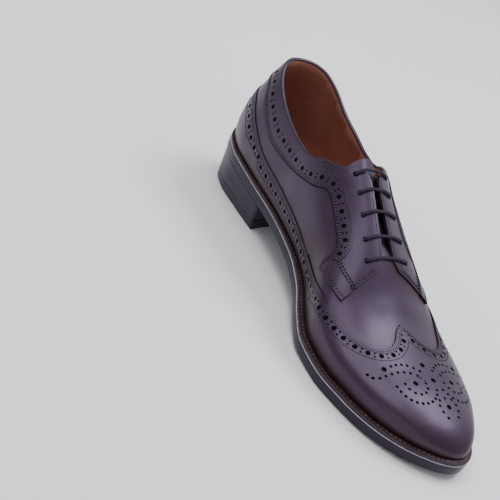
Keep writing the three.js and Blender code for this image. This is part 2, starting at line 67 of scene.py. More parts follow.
# Share of the length, then lateral edge, medial edge and ridge, height, widest point's height, bulge and
# fullness of the lateral and the medial shoulder.
SECTION_COLUMNS = ("at", "lateral", "medial", "ridge", "height", "widest",
                   "bulge_lateral", "bulge_medial", "full_lateral", "full_medial")
SECTIONS = (
    (0, 0, 0, 0, 1, 0.2, 0, 0, 0.52, 0.52),
    (0.02, 0.181, 0.181, 0, 1, 0.2, 0.021, 0.021, 0.52, 0.52),
    (0.06, 0.266, 0.266, 0, 1, 0.2, 0.032, 0.032, 0.52, 0.52),
    (0.12, 0.306, 0.308, 0, 1, 0.2, 0.043, 0.043, 0.52, 0.48),
    (0.2, 0.308, 0.308, -0.02, 1, 0.22, 0.048, 0.053, 0.52, 0.46),
    (0.28, 0.304, 0.26, -0.05, 0.976, 0.26, 0.053, 0.07, 0.54, 0.48),
    (0.36, 0.319, 0.208, -0.075, 0.905, 0.31, 0.059, 0.085, 0.54, 0.52),
    (0.44, 0.343, 0.181, -0.096, 0.786, 0.36, 0.053, 0.085, 0.52, 0.56),
    (0.52, 0.394, 0.229, -0.11, 0.679, 0.38, 0.037, 0.053, 0.46, 0.54),
    (0.6, 0.5, 0.305, -0.115, 0.556, 0.4, 0.027, 0.027, 0.46, 0.48),
    (0.67, 0.574, 0.362, -0.115, 0.414, 0.4, 0.021, 0.021, 0.48, 0.46),
    (0.74, 0.585, 0.37, -0.104, 0.31, 0.4, 0.017, 0.017, 0.52, 0.45),
    (0.81, 0.546, 0.333, -0.076, 0.265, 0.4, 0.015, 0.015, 0.56, 0.49),
    (0.88, 0.479, 0.25, -0.058, 0.236, 0.4, 0.013, 0.013, 0.6, 0.54),
    (0.94, 0.366, 0.14, -0.064, 0.182, 0.4, 0.011, 0.011, 0.6, 0.57),
    (0.98, 0.236, 0.041, -0.076, 0.11, 0.4, 0.006, 0.006, 0.6, 0.57),
    (1, 0.083, -0.083, -0.083, 0, 0.4, 0, 0, 0.6, 0.57),
)
# Share of the length, then share of the heel's rise, of the ball's width, and of the way from welt to ridge.
UNDERSIDE = ((0, 1), (0.13, 0.86), (0.26, 0.74), (0.34, 0.69), (0.43, 0.58), (0.52, 0.36), (0.6, 0.16),
             (0.67, 0.04), (0.73, 0), (0.82, 0), (0.9, 0.04), (1, 0.15))
WELT_WIDTHS = ((0, 0.032), (0.1, 0.032), (0.3, 0.034), (0.45, 0.04), (0.6, 0.053), (0.8, 0.058),
               (0.93, 0.052), (1, 0.04))
TOPLINE = ((0, 0.625), (0.04, 0.615), (0.065, 0.595), (0.105, 0.565), (0.15, 0.527), (0.2, 0.493),
           (0.24, 0.472), (0.275, 0.459), (0.305, 0.456), (0.335, 0.481), (0.361, 0.54), (0.391, 0.609),
           (0.414, 0.7), (0.429, 0.81), (0.442, 0.895), (0.455, 0.94), (0.48, 0.955), (0.54, 0.945),
           (0.6, 0.944), (0.615, 0.962), (SLOT_END, 1))

# %% The last as a function
TINY = 1e-12

def turn_of(share):
    return np.arccos(1 - 2 * np.clip(share, 0, 1)) / np.pi


def share_of(turn):
    return (1 - np.cos(np.pi * np.asarray(turn, float))) / 2


def monotone(xs, ys):
    """A smooth curve through (x, y) that never overshoots between two of them."""
    xs, ys = np.array(xs, float), np.array(ys, float)
    step = np.diff(xs)
    rise = np.diff(ys) / step

    def end_slope(step_a, step_b, rise_a, rise_b):
        slope = ((2 * step_a + step_b) * rise_a - step_a * rise_b) / (step_a + step_b)
        if np.sign(slope) != np.sign(rise_a):
            return 0.0
        if np.sign(rise_a) != np.sign(rise_b) and abs(slope) > 3 * abs(rise_a):
            return 3 * rise_a
        return slope

    slope = np.zeros(len(xs))
    same = rise[:-1] * rise[1:] > 0
    weight_a = 2 * step[1:] + step[:-1]
    weight_b = step[1:] + 2 * step[:-1]
    inner = np.zeros(len(same))
    total = (weight_a + weight_b)[same]
    inner[same] = total / (weight_a[same] / rise[:-1][same] + weight_b[same] / rise[1:][same])
    slope[1:-1] = inner
    slope[0] = end_slope(step[0], step[1], rise[0], rise[1])
    slope[-1] = end_slope(step[-1], step[-2], rise[-1], rise[-2])

    def curve(x):
        x = np.clip(np.asarray(x, float), xs[0], xs[-1])
        i = np.clip(np.searchsorted(xs, x) - 1, 0, len(step) - 1)
        t = (x - xs[i]) / step[i]
        low = (1 + 2 * t) * (1 - t) ** 2 * ys[i] + t * (1 - t) ** 2 * step[i] * slope[i]
        return low + t * t * (3 - 2 * t) * ys[i + 1] + t * t * (t - 1) * step[i] * slope[i + 1]

    return curve


def column_curves(columns, rows, place):
    xs = [place(row[0]) for row in rows]
    return {name: monotone(xs, [row[i + 1] for row in rows]) for i, name in enumerate(columns[1:])}


section = column_curves(SECTION_COLUMNS, SECTIONS, turn_of)
underside_rise = monotone(*zip(*UNDERSIDE))
welt_share = monotone(*zip(*WELT_WIDTHS))
topline_curve = monotone(*zip(*TOPLINE))
heel_lean = monotone([0, 0.3, 0.6, 1, 1.4], [0, -0.003, 0.008, 0.034, 0.062])
COLLAR_HEIGHT = 0.715 * INSTEP
LEAN_REACH = 0.24


def topline(share):
    return np.where(np.asarray(share) >= SLOT_END, 1.0, topline_curve(share))


def last_point(turn, around):
    """A place on the last. around runs from the lateral welt (0) over the ridge (1) to the medial welt (2)."""
    turn, around = np.broadcast_arrays(np.asarray(turn, float), np.asarray(around, float))
    lateral = around <= 1
    v = np.where(lateral, around, 2 - around)
    side = np.where(lateral, -1.0, 1.0)

    def pick(name):
        return np.where(lateral, section[name + "lateral"](turn), section[name + "medial"](turn))

    ridge = section["ridge"](turn) * BALL_WIDTH
    edge = pick("") * BALL_WIDTH - side * ridge
    wide = edge + pick("bulge_") * BALL_WIDTH
    height = section["height"](turn) * INSTEP
    low = section["widest"](turn) * height
    full = pick("full_")
    q = np.clip(v / WIDEST_AROUND, 0, 1)
    p = np.clip((v - WIDEST_AROUND) / (1 - WIDEST_AROUND), 0, 1)
    b = ((1 - p) ** 3, 3 * (1 - p) ** 2 * p, 3 * (1 - p) * p * p, p ** 3)
    below = v < WIDEST_AROUND
    y = np.where(below, wide - (wide - edge) * (1 - q) ** 2, (b[0] + b[1]) * wide + b[2] * full * wide)
    z = np.where(below, low * q,
                 b[0] * low + b[1] * (low + full * (height - low)) + (b[2] + b[3]) * height)
    share = share_of(turn)
    lean = heel_lean(z / COLLAR_HEIGHT) * LENGTH * np.clip(1 - share / LEAN_REACH, 0, 1) ** 2
    x = (share - ORIGIN_AT) * LENGTH + lean
    return np.stack([x, ridge + side * y, HEEL_RISE * underside_rise(share) + UPPER_FOOT + z], -1)


def unit(vectors):
    return vectors / np.maximum(np.linalg.norm(vectors, axis=-1, keepdims=True), TINY)


def outward(turn, around):
    """The last's outward normal. It lies level at the foot, and in the middle plane at the heel's seam."""
    turn, around = np.broadcast_arrays(np.asarray(turn, float), np.asarray(around, float))
    small = 0.002
    t = np.clip(turn, 0, 0.997)
    a = np.clip(around, 0, 2)
    along = last_point(np.minimum(t + small, 1), a) - last_point(np.maximum(t - small, 0), a)
    up = last_point(t, np.minimum(a + small, 2)) - last_point(t, np.maximum(a - small, 0))
    normal = np.cross(along, up)
    foot = np.clip(np.minimum(a, 2 - a) / 0.06, 0, 1)
    normal[..., 2] *= foot
    normal[..., 1] = np.where(turn <= 0, 0, normal[..., 1])
    return unit(normal)


# %% [markdown]
# A new shoe has few creases, but leather is never a perfect surface: it sinks a little where a seam pulls it
# and where the last is hollow. Each soft trough or ridge is one row: two ends on the shoe, its half width and
# its depth. All panels read the same function, so they stay on each other when it moves.

# %% Soft troughs and ridges
# Share and around of one end, share and around of the other, half width and depth in mm. Plus is out.
SOFT_FOLDS = (
    (0.655, 0.50, 0.695, 0.40, 6, -0.45),
    (0.665, 0.60, 0.715, 0.56, 7, -0.30),
    (0.668, 0.72, 0.705, 0.84, 7, -0.30),
    (0.63, 1.05, 0.665, 1.30, 6, -0.30),
    (0.50, 0.16, 0.545, 0.40, 7, -0.55),
    (0.43, 0.20, 0.475, 0.46, 9, 0.45),
    (0.38, 0.22, 0.37, 0.36, 8, -0.35),
    (0.30, 0.22, 0.315, 0.42, 9, -0.30),
    (0.50, 1.84, 0.545, 1.60, 7, -0.55),
    (0.43, 1.80, 0.475, 1.54, 9, 0.45),
    (0.40, 1.26, 0.50, 1.20, 17, -2.3),
    (0.52, 1.20, 0.56, 1.20, 13, -0.8),
    (0.10, 0.46, 0.17, 0.40, 8, -0.25),
    (0.10, 1.54, 0.17, 1.60, 8, -0.25),
)
GIRTH = 74 * MM
END_FADE = 0.35


def fold_lift(turn, around):
    """How far the soft folds move the leather out at each place."""
    flat = np.stack([share_of(turn) * LENGTH, np.asarray(around, float) * GIRTH], -1)
    lift = np.zeros(flat.shape[:-1])
    for s0, a0, s1, a1, width, depth in SOFT_FOLDS:
        start = np.array([s0 * LENGTH, a0 * GIRTH])
        run = np.array([s1 * LENGTH, a1 * GIRTH]) - start
        t = np.clip(((flat - start) @ run) / (run @ run), 0, 1)
        apart = np.linalg.norm(flat - start - t[..., None] * run, axis=-1) / (width * MM)
        lift += depth * MM * (1 - END_FADE * (2 * t - 1) ** 2) * np.exp(-apart ** 2)
    return lift


def shoe(turn, around, lift=0.0):
    """A place on the shoe, lift out from the last."""
    rise = np.asarray(lift, float) + fold_lift(turn, around)
    return last_point(turn, around) + outward(turn, around) * rise[..., None]


probe = shoe(turn_of(np.array([0.0, 0.5, 1.0])), np.array([0.3, 1.0, 1.0]))
print("last: heel, waist and toe at", np.round(probe / MM, 1).tolist(), "mm")

# %% [markdown]
# The camera stands where the photograph's stood: about 70 cm from the shoe's middle, above the toe's outer
# side, and rolled, because the shoe in the picture leans with its heel raised while this one stands flat. Two
# directions aim it, the picture's right and its down, both given in the shoe's frame.

# %% Camera
CAMERA_PLACE = Vector((0.5225, -0.4808, 0.3565))
CAMERA_RIGHT = Vector((0.4338, 0.796, 0.4222))
CAMERA_DOWN = Vector((0.6428, 0.055, -0.7641))
SENSOR = 36
PICTURE = 500
FOCAL_PIXELS = 1123.5

camera_data = bpy.data.cameras.new("camera")
camera_data.sensor_width = SENSOR
camera_data.lens = FOCAL_PIXELS * SENSOR / PICTURE
camera = bpy.data.objects.new("camera", camera_data)
bpy.context.scene.collection.objects.link(camera)
back = -CAMERA_RIGHT.cross(CAMERA_DOWN)
turned = Matrix((CAMERA_RIGHT, -CAMERA_DOWN, back)).transposed()
camera.matrix_world = Matrix.Translation(CAMERA_PLACE) @ turned.to_4x4()
bpy.context.scene.camera = camera
print("camera:", round(camera_data.lens, 1), "mm lens,", round(CAMERA_PLACE.length * 100), "cm from the heel")

# %% [markdown]
# A maker cuts each panel flat, punches it and sews it on. The same is done here in the flat plane of turn and
# around: an outline, holes and a grid of points are joined into triangles, then bent over the last. Boolean
# cuts on a bent sheet would be slower and leave ragged rims. Each rim gets a small round and a wall, as cut
# leather has.

# %% Curves on the shoe
CURVE_STEPS = 24
GIMP_PITCH = 1.8 * MM
GIMP_DEPTH = 0.8 * MM
GIMP_WAVE = (0.0, 0.72, 1.0, 0.72)


def spline(points):
    """A smooth line through (share, around) places, as many close (turn, around) places."""
    dots = np.array([(turn_of(s), a) for s, a in points], float)
    dots = np.vstack([2 * dots[0] - dots[1], dots, 2 * dots[-1] - dots[-2]])
    t = np.linspace(0, 1, CURVE_STEPS, endpoint=False)[:, None]
    out = []
    for a, b, c, d in zip(dots, dots[1:], dots[2:], dots[3:]):
        out.append(0.5 * (2 * b + (c - a) * t + (2 * a - 5 * b + 4 * c - d) * t ** 2
                          + (3 * b - a - 3 * c + d) * t ** 3))
    line = np.vstack(out + [dots[-2:-1]])
    line[:, 0] = np.clip(line[:, 0], 0, 1)
    return line


def lengths(line):
    steps = np.linalg.norm(np.diff(last_point(*line.T), axis=0), axis=1)
    return np.concatenate([[0], np.cumsum(steps)])


def count_on(line, pitch):
    """How many pitches the line takes, as a whole number."""
    return max(int(round(lengths(line)[-1] / pitch)), 1)


def spaced(line, pitch=None, count=None):
    """The same line with its places a pitch apart on the shoe, or in count even steps."""
    run = lengths(line)
    at = np.linspace(0, run[-1], (count or count_on(line, pitch)) + 1)
    return np.stack([np.interp(at, run, column) for column in line.T], -1)


def straight(points, pitch=1.2 * MM):
    """Straight runs through (share, around) places, with the corners kept."""
    dots = np.array([(turn_of(s), a) for s, a in points], float)
    runs = [spaced(np.linspace(a, b, 12), pitch)[:-1] for a, b in zip(dots, dots[1:])]
    return np.vstack(runs + [dots[-1:]])


def mirrored(line):
    return np.stack([line[:, 0], 2 - line[:, 1]], -1)[::-1]


def slopes(turn, around):
    small = 1e-4
    t = np.clip(turn, small, 1 - 2 * small)
    a = np.clip(around, small, 2 - small)
    return (last_point(t + small, a) - last_point(t - small, a)) / (2 * small), \
        (last_point(t, a + small) - last_point(t, a - small)) / (2 * small)


def moved(line, shift):
    """The line's places moved over the shoe by a small 3-D shift each."""
    along, up = slopes(*line.T)
    aa, bb, ab = (along * along).sum(-1), (up * up).sum(-1), (along * up).sum(-1)
    sa, sb = (shift * along).sum(-1), (shift * up).sum(-1)
    det = np.maximum(aa * bb - ab * ab, TINY)
    return line + np.stack([(bb * sa - ab * sb) / det, (aa * sb - ab * sa) / det], -1)


def leftward(line):
    """The direction over the surface that lies left of the line's run, seen from outside."""
    return np.cross(outward(*line.T), unit(np.gradient(last_point(*line.T), axis=0)))


def beside(line, distance):
    """A line that runs beside the given one, to its left."""
    line = spaced(line, 1.5 * MM)
    shifted = moved(line, leftward(line) * distance)
    shifted[:, 0] = np.clip(shifted[:, 0], 0, 1)
    return shifted


def gimped(line, pitch=GIMP_PITCH, depth=GIMP_DEPTH):
    """The line with small even teeth, as a gimping knife cuts them, to the line's right."""
    teeth = count_on(line, pitch)
    line = spaced(line, count=len(GIMP_WAVE) * teeth)
    wave = np.append(np.tile(GIMP_WAVE, teeth), 0.0)
    return moved(line, -leftward(line) * (wave * depth)[:, None])


def ring(place, radius, sides):
    """A round hole's rim about one (turn, around) place."""
    centre = np.array([place], float)
    along, _ = slopes(centre[:, 0], centre[:, 1])
    normal = outward(centre[:, 0], centre[:, 1])
    along /= np.linalg.norm(along)
    across = np.cross(normal, along)
    angle = np.linspace(0, 2 * np.pi, sides, endpoint=False)[:, None]
    shift = (np.cos(angle) * along + np.sin(angle) * across) * radius
    return moved(np.repeat(centre, sides, 0), shift)


# %% Panels from outlines
# The flat plane's scale: mm for one whole turn and for the way from the welt to the ridge.
FLAT = np.array([330.0, 75.0])
ROW_APART = 0.866
HOLE_ROUND = 0.16 * MM
# How far the rounded rim goes out and down, as shares of its round, and how far it is painted as an edge.
RIM_STEPS = ((0.7, 0.3, 0.5), (1.0, 1.0, 1.0))
UNDER_GRID = 4.0
POLE = 1e-6


def inside(points, polygon):
    x, y = points[:, 0][:, None], points[:, 1][:, None]
    x0, y0 = polygon[:, 0], polygon[:, 1]
    x1, y1 = np.roll(x0, -1), np.roll(y0, -1)
    rise = np.where(y1 == y0, TINY, y1 - y0)
    crosses = ((y0 > y) != (y1 > y)) & (x < (x1 - x0) * (y - y0) / rise + x0)
    return crosses.sum(1) % 2 == 1


def apart(points, others):
    """The distance from each flat point to the nearest of the others."""
    tree = kdtree.KDTree(len(others))
    for i, (x, y) in enumerate(others):
        tree.insert((x, y, 0), i)
    tree.balance()
    return np.array([tree.find((x, y, 0))[2] for x, y in points])


def triangles(outline, holes, grid):
    """Flat points and triangles that fill the outline and leave out the holes."""
    loops = [outline * FLAT] + [hole * FLAT for hole in holes]
    border = np.vstack(loops)
    low, high = loops[0].min(0), loops[0].max(0)
    xs = np.arange(low[0], high[0], grid)
    ys = np.arange(low[1], high[1], grid * ROW_APART)
    field = np.stack(np.meshgrid(xs, ys, indexing="ij"), -1)
    field[:, 1::2, 0] += grid / 2
    field = field.reshape(-1, 2)
    field = field[inside(field, loops[0])]
    field = field[apart(field, border) > 0.5 * grid]
    for hole in loops[1:]:
        middle = hole.mean(0)
        reach = np.linalg.norm(hole - middle, axis=1).max() * 1.05
        field = field[np.linalg.norm(field - middle, axis=1) > reach]
    points = np.vstack([border, field])
    edges, start = [], 0
    for loop in loops:
        n = len(loop)
        edges += [(start + i, start + (i + 1) % n) for i in range(n)]
        start += n
    face = list(range(len(loops[0])))
    found, _, faces, origin, _, _ = delaunay_2d_cdt([Vector(p) for p in points], edges, [face], 1, 1e-6)
    found = np.array([tuple(p) for p in found])
    owner = np.full(len(found), -1)
    index = np.full(len(points), -1)
    bounds_of = np.cumsum([0] + [len(loop) for loop in loops])
    for i, sources in enumerate(origin):
        for source in sources:
            index[source] = i
            if source < start:
                owner[i] = np.searchsorted(bounds_of, source, "right") - 1
    kept = []
    for a, b, c in faces:
        if owner[a] > 0 and owner[a] == owner[b] == owner[c]:
            continue
        u, v = found[b] - found[a], found[c] - found[a]
        turned = u[0] * v[1] - u[1] * v[0]
        if abs(turned) > 1e-9:
            kept.append((a, b, c) if turned > 0 else (a, c, b))
    rims = [index[bounds_of[i]:bounds_of[i + 1]] for i in range(len(loops))]
    return found / FLAT, kept, rims


def surface_normals(places, lift):
    """Normals of the lifted surface, by small steps along and around."""
    t = np.clip(places[:, 0], 0.002, 0.997)
    a = np.clip(places[:, 1], 0.002, 1.998)
    small = 0.0015
    along = shoe(t + small, a, lift(t + small, a)) - shoe(t - small, a, lift(t - small, a))
    up = shoe(t, a + small, lift(t, a + small)) - shoe(t, a - small, lift(t, a - small))
    normal = np.cross(along, up)
    normal[:, 1] *= np.clip(places[:, 0] / 0.004, 0, 1)
    return unit(normal)


class Sheet:
    """Collects the corners and faces of one piece before it becomes a mesh."""

    def __init__(self):
        self.points, self.normals, self.edge, self.faces, self.pits = [], [], [], [], []
        self.count = 0

    def add(self, points, normals=None, edge=0.0):
        points = np.asarray(points, float)
        self.points.append(points)
        self.normals.append(np.zeros_like(points) if normals is None else np.asarray(normals, float))
        self.edge.append(np.broadcast_to(np.asarray(edge, float), len(points)))
        first = self.count
        self.count += len(points)
        return first + np.arange(len(points))

    def strip(self, rows, closed=False, skip=None, pits=False):
        """Quads between rows of corner numbers; each row lies outside the one before it, seen from above."""
        for inner, outer in zip(rows, rows[1:]):
            n = len(inner)
            for i in range(n if closed else n - 1):
                j = (i + 1) % n
                if skip is None or not skip[i]:
                    (self.pits if pits else self.faces).append((inner[i], outer[i], outer[j], inner[j]))

    def close(self, rows):
        """Flat ends on the first and the last of the rows."""
        self.faces += [tuple(rows[0]), tuple(rows[-1][::-1])]

    def build(self, name, material, weld=2e-6):
        points = np.vstack(self.points)
        normals = np.vstack(self.normals)
        edge = np.concatenate(self.edge)
        keys = np.round(points / weld).astype(np.int64)
        _, first, back = np.unique(keys, axis=0, return_index=True, return_inverse=True)
        back = back.reshape(-1)
        faces, slots = [], []
        for number, group in enumerate((self.faces, self.pits)):
            for face in group:
                ids = [int(back[i]) for i in face]
                ids = [v for i, v in enumerate(ids) if v != ids[i - 1]]
                if len(set(ids)) > 2 and len(set(ids)) == len(ids):
                    faces.append(ids)
                    slots.append(number)
        mesh = bpy.data.meshes.new(name)
        mesh.from_pydata(points[first].tolist(), [], faces)
        mesh.update()
        mesh.shade_smooth()
        mesh.attributes.new("edge", "FLOAT", "POINT").data.foreach_set("value", edge[first].astype(np.float32))
        mesh.normals_split_custom_set_from_vertices(normals[first].tolist())
        piece = bpy.data.objects.new(name, mesh)
        bpy.context.scene.collection.objects.link(piece)
        mesh.materials.append(material)
        # Faces in pits take the black pit finish, which is painted shade.
        if self.pits:
            mesh.materials.append(painted_pit_shade)
            mesh.polygons.foreach_set("material_index", slots)
        return piece


def signed_area(loop):
    x, y = loop[:, 0], loop[:, 1]
    return float((x * np.roll(y, -1) - np.roll(x, -1) * y).sum()) / 2


def pole_edges(spots):
    """Rim edges that lie on the heel's seam or on the toe's tip, where the two sides join without a rim."""
    t, u = spots[:, 0], np.roll(spots[:, 0], -1)
    return ((t < POLE) & (u < POLE)) | ((t > 1 - POLE) & (u > 1 - POLE))


def panel(sheet, outline, lift, depth, holes=(), hole_depth=0.6 * MM, grid=2.4, bevel=0.22 * MM):
    """One cut panel: its face, rounded rims, walls, hole floors and underside."""
    if signed_area(outline) < 0:
        outline = outline[::-1]
    places, faces, rims = triangles(outline, holes, grid)
    lifts = lift(*places.T)
    top = shoe(*places.T, lifts)
    face_ids = sheet.add(top, surface_normals(places, lift))
    sheet.faces += [tuple(face_ids[list(f)]) for f in faces]
    for number, rim in enumerate(rims):
        is_hole = number > 0
        rim = rim[::-1] if is_hole else rim
        spots, points = places[rim], top[rim]
        up = outward(*spots.T)
        out = np.cross(unit(np.roll(points, -1, 0) - np.roll(points, 1, 0)), up)
        out[spots[:, 0] < POLE, 1] = 0
        deep = np.full(len(rim), -hole_depth) if is_hole else depth(*spots.T) - lifts[rim]
        round_by = HOLE_ROUND if is_hole else bevel
        rows = [face_ids[rim]]
        for out_by, down_by, tone in RIM_STEPS:
            shift = out * (out_by * round_by) - up * (down_by * round_by)
            rows.append(sheet.add(points + shift, None, tone))
        wall = points + out * round_by + up * np.minimum(deep, -round_by)[:, None]
        rows.append(sheet.add(wall, None, 1.0))
        # A hole's floor and the lowest strip of its wall take the black pit finish: painted shade for the hole's
        # dark inside.
        if is_hole:
            sheet.strip(rows[:-1], True)
            sheet.strip(rows[-2:], True, pits=True)
            sheet.pits.append(tuple(rows[-1][::-1]))
        else:
            sheet.strip(rows, True, pole_edges(spots))
            base_rim = wall
    under_places, under_faces, under_rims = triangles(outline, (), max(grid, UNDER_GRID))
    low = shoe(*under_places.T, depth(*under_places.T))
    low[under_rims[0]] = base_rim
    under = sheet.add(low, None, 1.0)
    sheet.faces += [tuple(under[[c, b, a]]) for a, b, c in under_faces]


def panel_pair(name, outline, lift, depth, holes=(), **sizes):
    """A panel and its mirror image as one leather piece."""
    sheet = Sheet()
    panel(sheet, outline, lift, depth, holes, **sizes)
    panel(sheet, mirrored(outline), lift, depth, [mirrored(hole) for hole in holes], **sizes)
    return sheet.build(name, leather)


print("panel tools ready")

# %% [markdown]
# Box calf is dyed, burnished and polished: a deep aubergine with redder, darker tones low down and along cut
# edges. Its grain is so fine that it only breaks up the gloss. A photo texture would carry its own light, so
# the finish is made of noise, a few painted values per corner, some of them painted shade, and two gloss
# layers. One small class lets the shader maths be written as plain expressions.

# %% Shader maths as expressions


class Wire:
    """One number or colour in a material. Operators add Math nodes."""

    def __init__(self, paint, socket):
        self.paint, self.socket = paint, socket

    def maths(self, operation, *others):
        return self.paint.node("ShaderNodeMath", {"operation": operation}, dict(enumerate((self, *others))))

    def __add__(self, other):
        return self.maths("ADD", other)

    def __sub__(self, other):
        return self.maths("SUBTRACT", other)

    def __mul__(self, other):
        return self.maths("MULTIPLY", other)

    __radd__ = __add__

    def __rsub__(self, other):
        return self.paint.node("ShaderNodeMath", {"operation": "SUBTRACT"}, {0: other, 1: self})

    def clamp(self, low=0.0, high=1.0):
        return self.maths("MAXIMUM", low).maths("MINIMUM", high)

    def ease(self, start, end):
        """0 before start, 1 after end, smooth between."""
        return self.paint.node("ShaderNodeMapRange", {"interpolation_type": "SMOOTHSTEP"},
                               {"Value": self, 1: start, 2: end, 3: 0.0, 4: 1.0})


class Paint:
    """A material under construction."""

    def __init__(self, name):
        self.material = bpy.data.materials.new(name)
        self.material.use_nodes = True
        self.tree = self.material.node_tree
        self.tree.nodes.clear()
        self.place = self.node("ShaderNodeTexCoord", {}, {}, "Object")

    def node(self, kind, settings, inputs, output=0):
        made = self.tree.nodes.new(kind)
        for key, value in settings.items():
            setattr(made, key, value)
        for key, value in inputs.items():
            if isinstance(value, Wire):
                self.tree.links.new(value.socket, made.inputs[key])
            elif isinstance(value, tuple) and made.inputs[key].type == "RGBA":
                made.inputs[key].default_value = (*value, 1)
            else:
                made.inputs[key].default_value = value
        return Wire(self, made.outputs[output])

    def noise(self, scale, detail=2.0, roughness=0.5, distortion=0.0):
        inputs = {"Vector": self.place, "Scale": scale, "Detail": detail,
                  "Roughness": roughness, "Distortion": distortion}
        return self.node("ShaderNodeTexNoise", {}, inputs)

    def cells(self, scale):
        inputs = {"Vector": self.place, "Scale": scale}
        return self.node("ShaderNodeTexVoronoi", {"feature": "F1"}, inputs, "Distance")

    def painted(self, name):
        return self.node("ShaderNodeAttribute", {"attribute_name": name}, {}, "Fac")

    def mix(self, factor, a, b):
        return self.node("ShaderNodeMix", {"data_type": "RGBA"}, {0: factor, 6: a, 7: b}, 2)

    def bump(self, height, strength, distance, under=None):
        inputs = {"Height": height, "Strength": strength, "Distance": distance}
        if under is not None:
            inputs["Normal"] = under
        return self.node("ShaderNodeBump", {}, inputs)

    def surface(self, **inputs):
        names = {key.replace("_", " "): value for key, value in inputs.items()}
        shader = self.node("ShaderNodeBsdfPrincipled", {}, names)
        made = self.tree.nodes.new("ShaderNodeOutputMaterial")
        self.tree.links.new(shader.socket, made.inputs["Surface"])
        return self.material


# %% Calf leather
AUBERGINE = (0.0215, 0.0092, 0.0195)
AUBERGINE_LIGHT = (0.031, 0.0147, 0.029)
# The burnish colour also serves as painted shade; the edge black inks cut edges and also paints shade on the
# tongue.
BURNISH_AND_SHADE = (0.023, 0.0072, 0.0095)
INK_AND_SHADE_BLACK = (0.005, 0.004, 0.005)
LILAC_SHEEN = (0.77, 0.62, 1.0)


def calf(name, polish=0.12, roughness=0.37):
    """Polished calf with inked cut edges, burnish and painted shade, from the painted values edge, low and stain.
    """
    paint = Paint(name)
    low, edge = paint.painted("low"), paint.painted("edge")
    cloud = paint.noise(28, 3.0, 0.55)
    streak = paint.noise(95, 2.0, 0.6, 0.4)
    tone = paint.mix((cloud * 0.7 + streak * 0.3).ease(0.34, 0.66), AUBERGINE, AUBERGINE_LIGHT)
    # low: burnish over the welt, and painted shade beside seams, in clouds and on the tongue.
    tone = paint.mix((low + (cloud - 0.5) * 0.5).ease(0.15, 0.95), tone, BURNISH_AND_SHADE)
    tone = paint.mix(edge.ease(0.05, 0.7), tone, INK_AND_SHADE_BLACK)
    # stain: the collar roll's dark wax, and painted shade on the tongue.
    tone = paint.mix(paint.painted("stain_and_shade").clamp(), tone, INK_AND_SHADE_BLACK)
    pores = paint.cells(1900)
    grain = paint.noise(950, 2.0, 0.6)
    fine = paint.bump(pores.ease(0.0, 0.55) * 0.6 + grain * 0.4, 0.11, 0.00018)
    soft = paint.bump(paint.noise(75, 2.0, 0.5), 0.10, 0.0012, fine)
    rough = (roughness + (streak - 0.5) * 0.16 + low * 0.05 + pores * 0.05 + edge * 0.35).clamp(0.2, 0.9)
    return paint.surface(Base_Color=tone, Roughness=rough, Specular_IOR_Level=0.5, Specular_Tint=LILAC_SHEEN,
                         Coat_Weight=(1 - edge).clamp() * polish, Coat_Roughness=0.2, Normal=soft)


def pit_shade_finish():
    """Painted shade for the inside of punched holes, needle pricks and gimping notches: near black and mat."""
    paint = Paint("painted_pit_shade")
    tone = paint.mix(paint.noise(300), (0.003, 0.002, 0.003), (0.007, 0.005, 0.006))
    return paint.surface(Base_Color=tone, Roughness=0.95, Specular_IOR_Level=0.1)


painted_pit_shade = pit_shade_finish()
leather = calf("calf_aubergine")
tongue_leather = calf("calf_tongue", roughness=0.42, polish=0.08)
print("leather:", len(leather.node_tree.nodes), "nodes")

# %% [markdown]
# The inside is a tan calf lining, mat from wear, with painted shade beside the slot. The sole's edge is stained
# nearly black and waxed, with a painted highlight along its top; the stitches are waxed linen, dark on the upper
# and redder on the welt.

# %% Lining, sole, thread and lace finishes
WAX_SHEEN = (0.80, 0.68, 1.0)


def tan_lining():
    paint = Paint("lining_tan")
    cloud = paint.noise(32, 3.0, 0.6)
    fine = paint.noise(420, 2.0, 0.6)
    tone = paint.mix(cloud.ease(0.3, 0.7), (0.27, 0.088, 0.056), (0.39, 0.150, 0.105))
    tone = paint.mix(paint.painted("edge") * 0.5, tone, (0.17, 0.065, 0.035))
    # stain here is painted shade: the lining turns near black beside the slot.
    tone = paint.mix(paint.painted("stain_and_shade").clamp(), tone, (0.008, 0.006, 0.008))
    bump = paint.bump(fine, 0.2, 0.0003)
    return paint.surface(Base_Color=tone, Roughness=(0.55 + fine * 0.15).clamp(), Normal=bump)


def edge_stain(name, base, second, roughness, polish):
    """Stacked sole leather, stained and waxed: faint layers that run level, with fine scratches."""
    paint = Paint(name)
    cloud = paint.noise(60, 3.0, 0.6)
    stretched = paint.node("ShaderNodeMapping", {}, {"Vector": paint.place, "Scale": (90.0, 90.0, 1400.0)})
    layers = paint.node("ShaderNodeTexNoise", {}, {"Vector": stretched, "Scale": 1.0, "Detail": 2.0})
    tone = paint.mix((cloud * 0.5 + layers * 0.5).ease(0.35, 0.65), base, second)
    bump = paint.bump(layers, 0.25, 0.0003)
    rough = (roughness + (layers - 0.5) * 0.2).clamp(0.15, 0.9)
    return paint.surface(Base_Color=tone, Roughness=rough, Specular_IOR_Level=0.38, Specular_Tint=WAX_SHEEN,
                         Coat_Weight=polish, Coat_Roughness=0.2, Normal=bump)


def thread_finish(name, base, second):
    paint = Paint(name)
    strands = paint.noise(2600, 2.0, 0.5)
    tone = paint.mix(paint.noise(160).ease(0.35, 0.65), base, second)
    bump = paint.bump(strands, 0.4, 0.0002)
    return paint.surface(Base_Color=tone, Roughness=(0.5 + strands * 0.15).clamp(), Normal=bump)


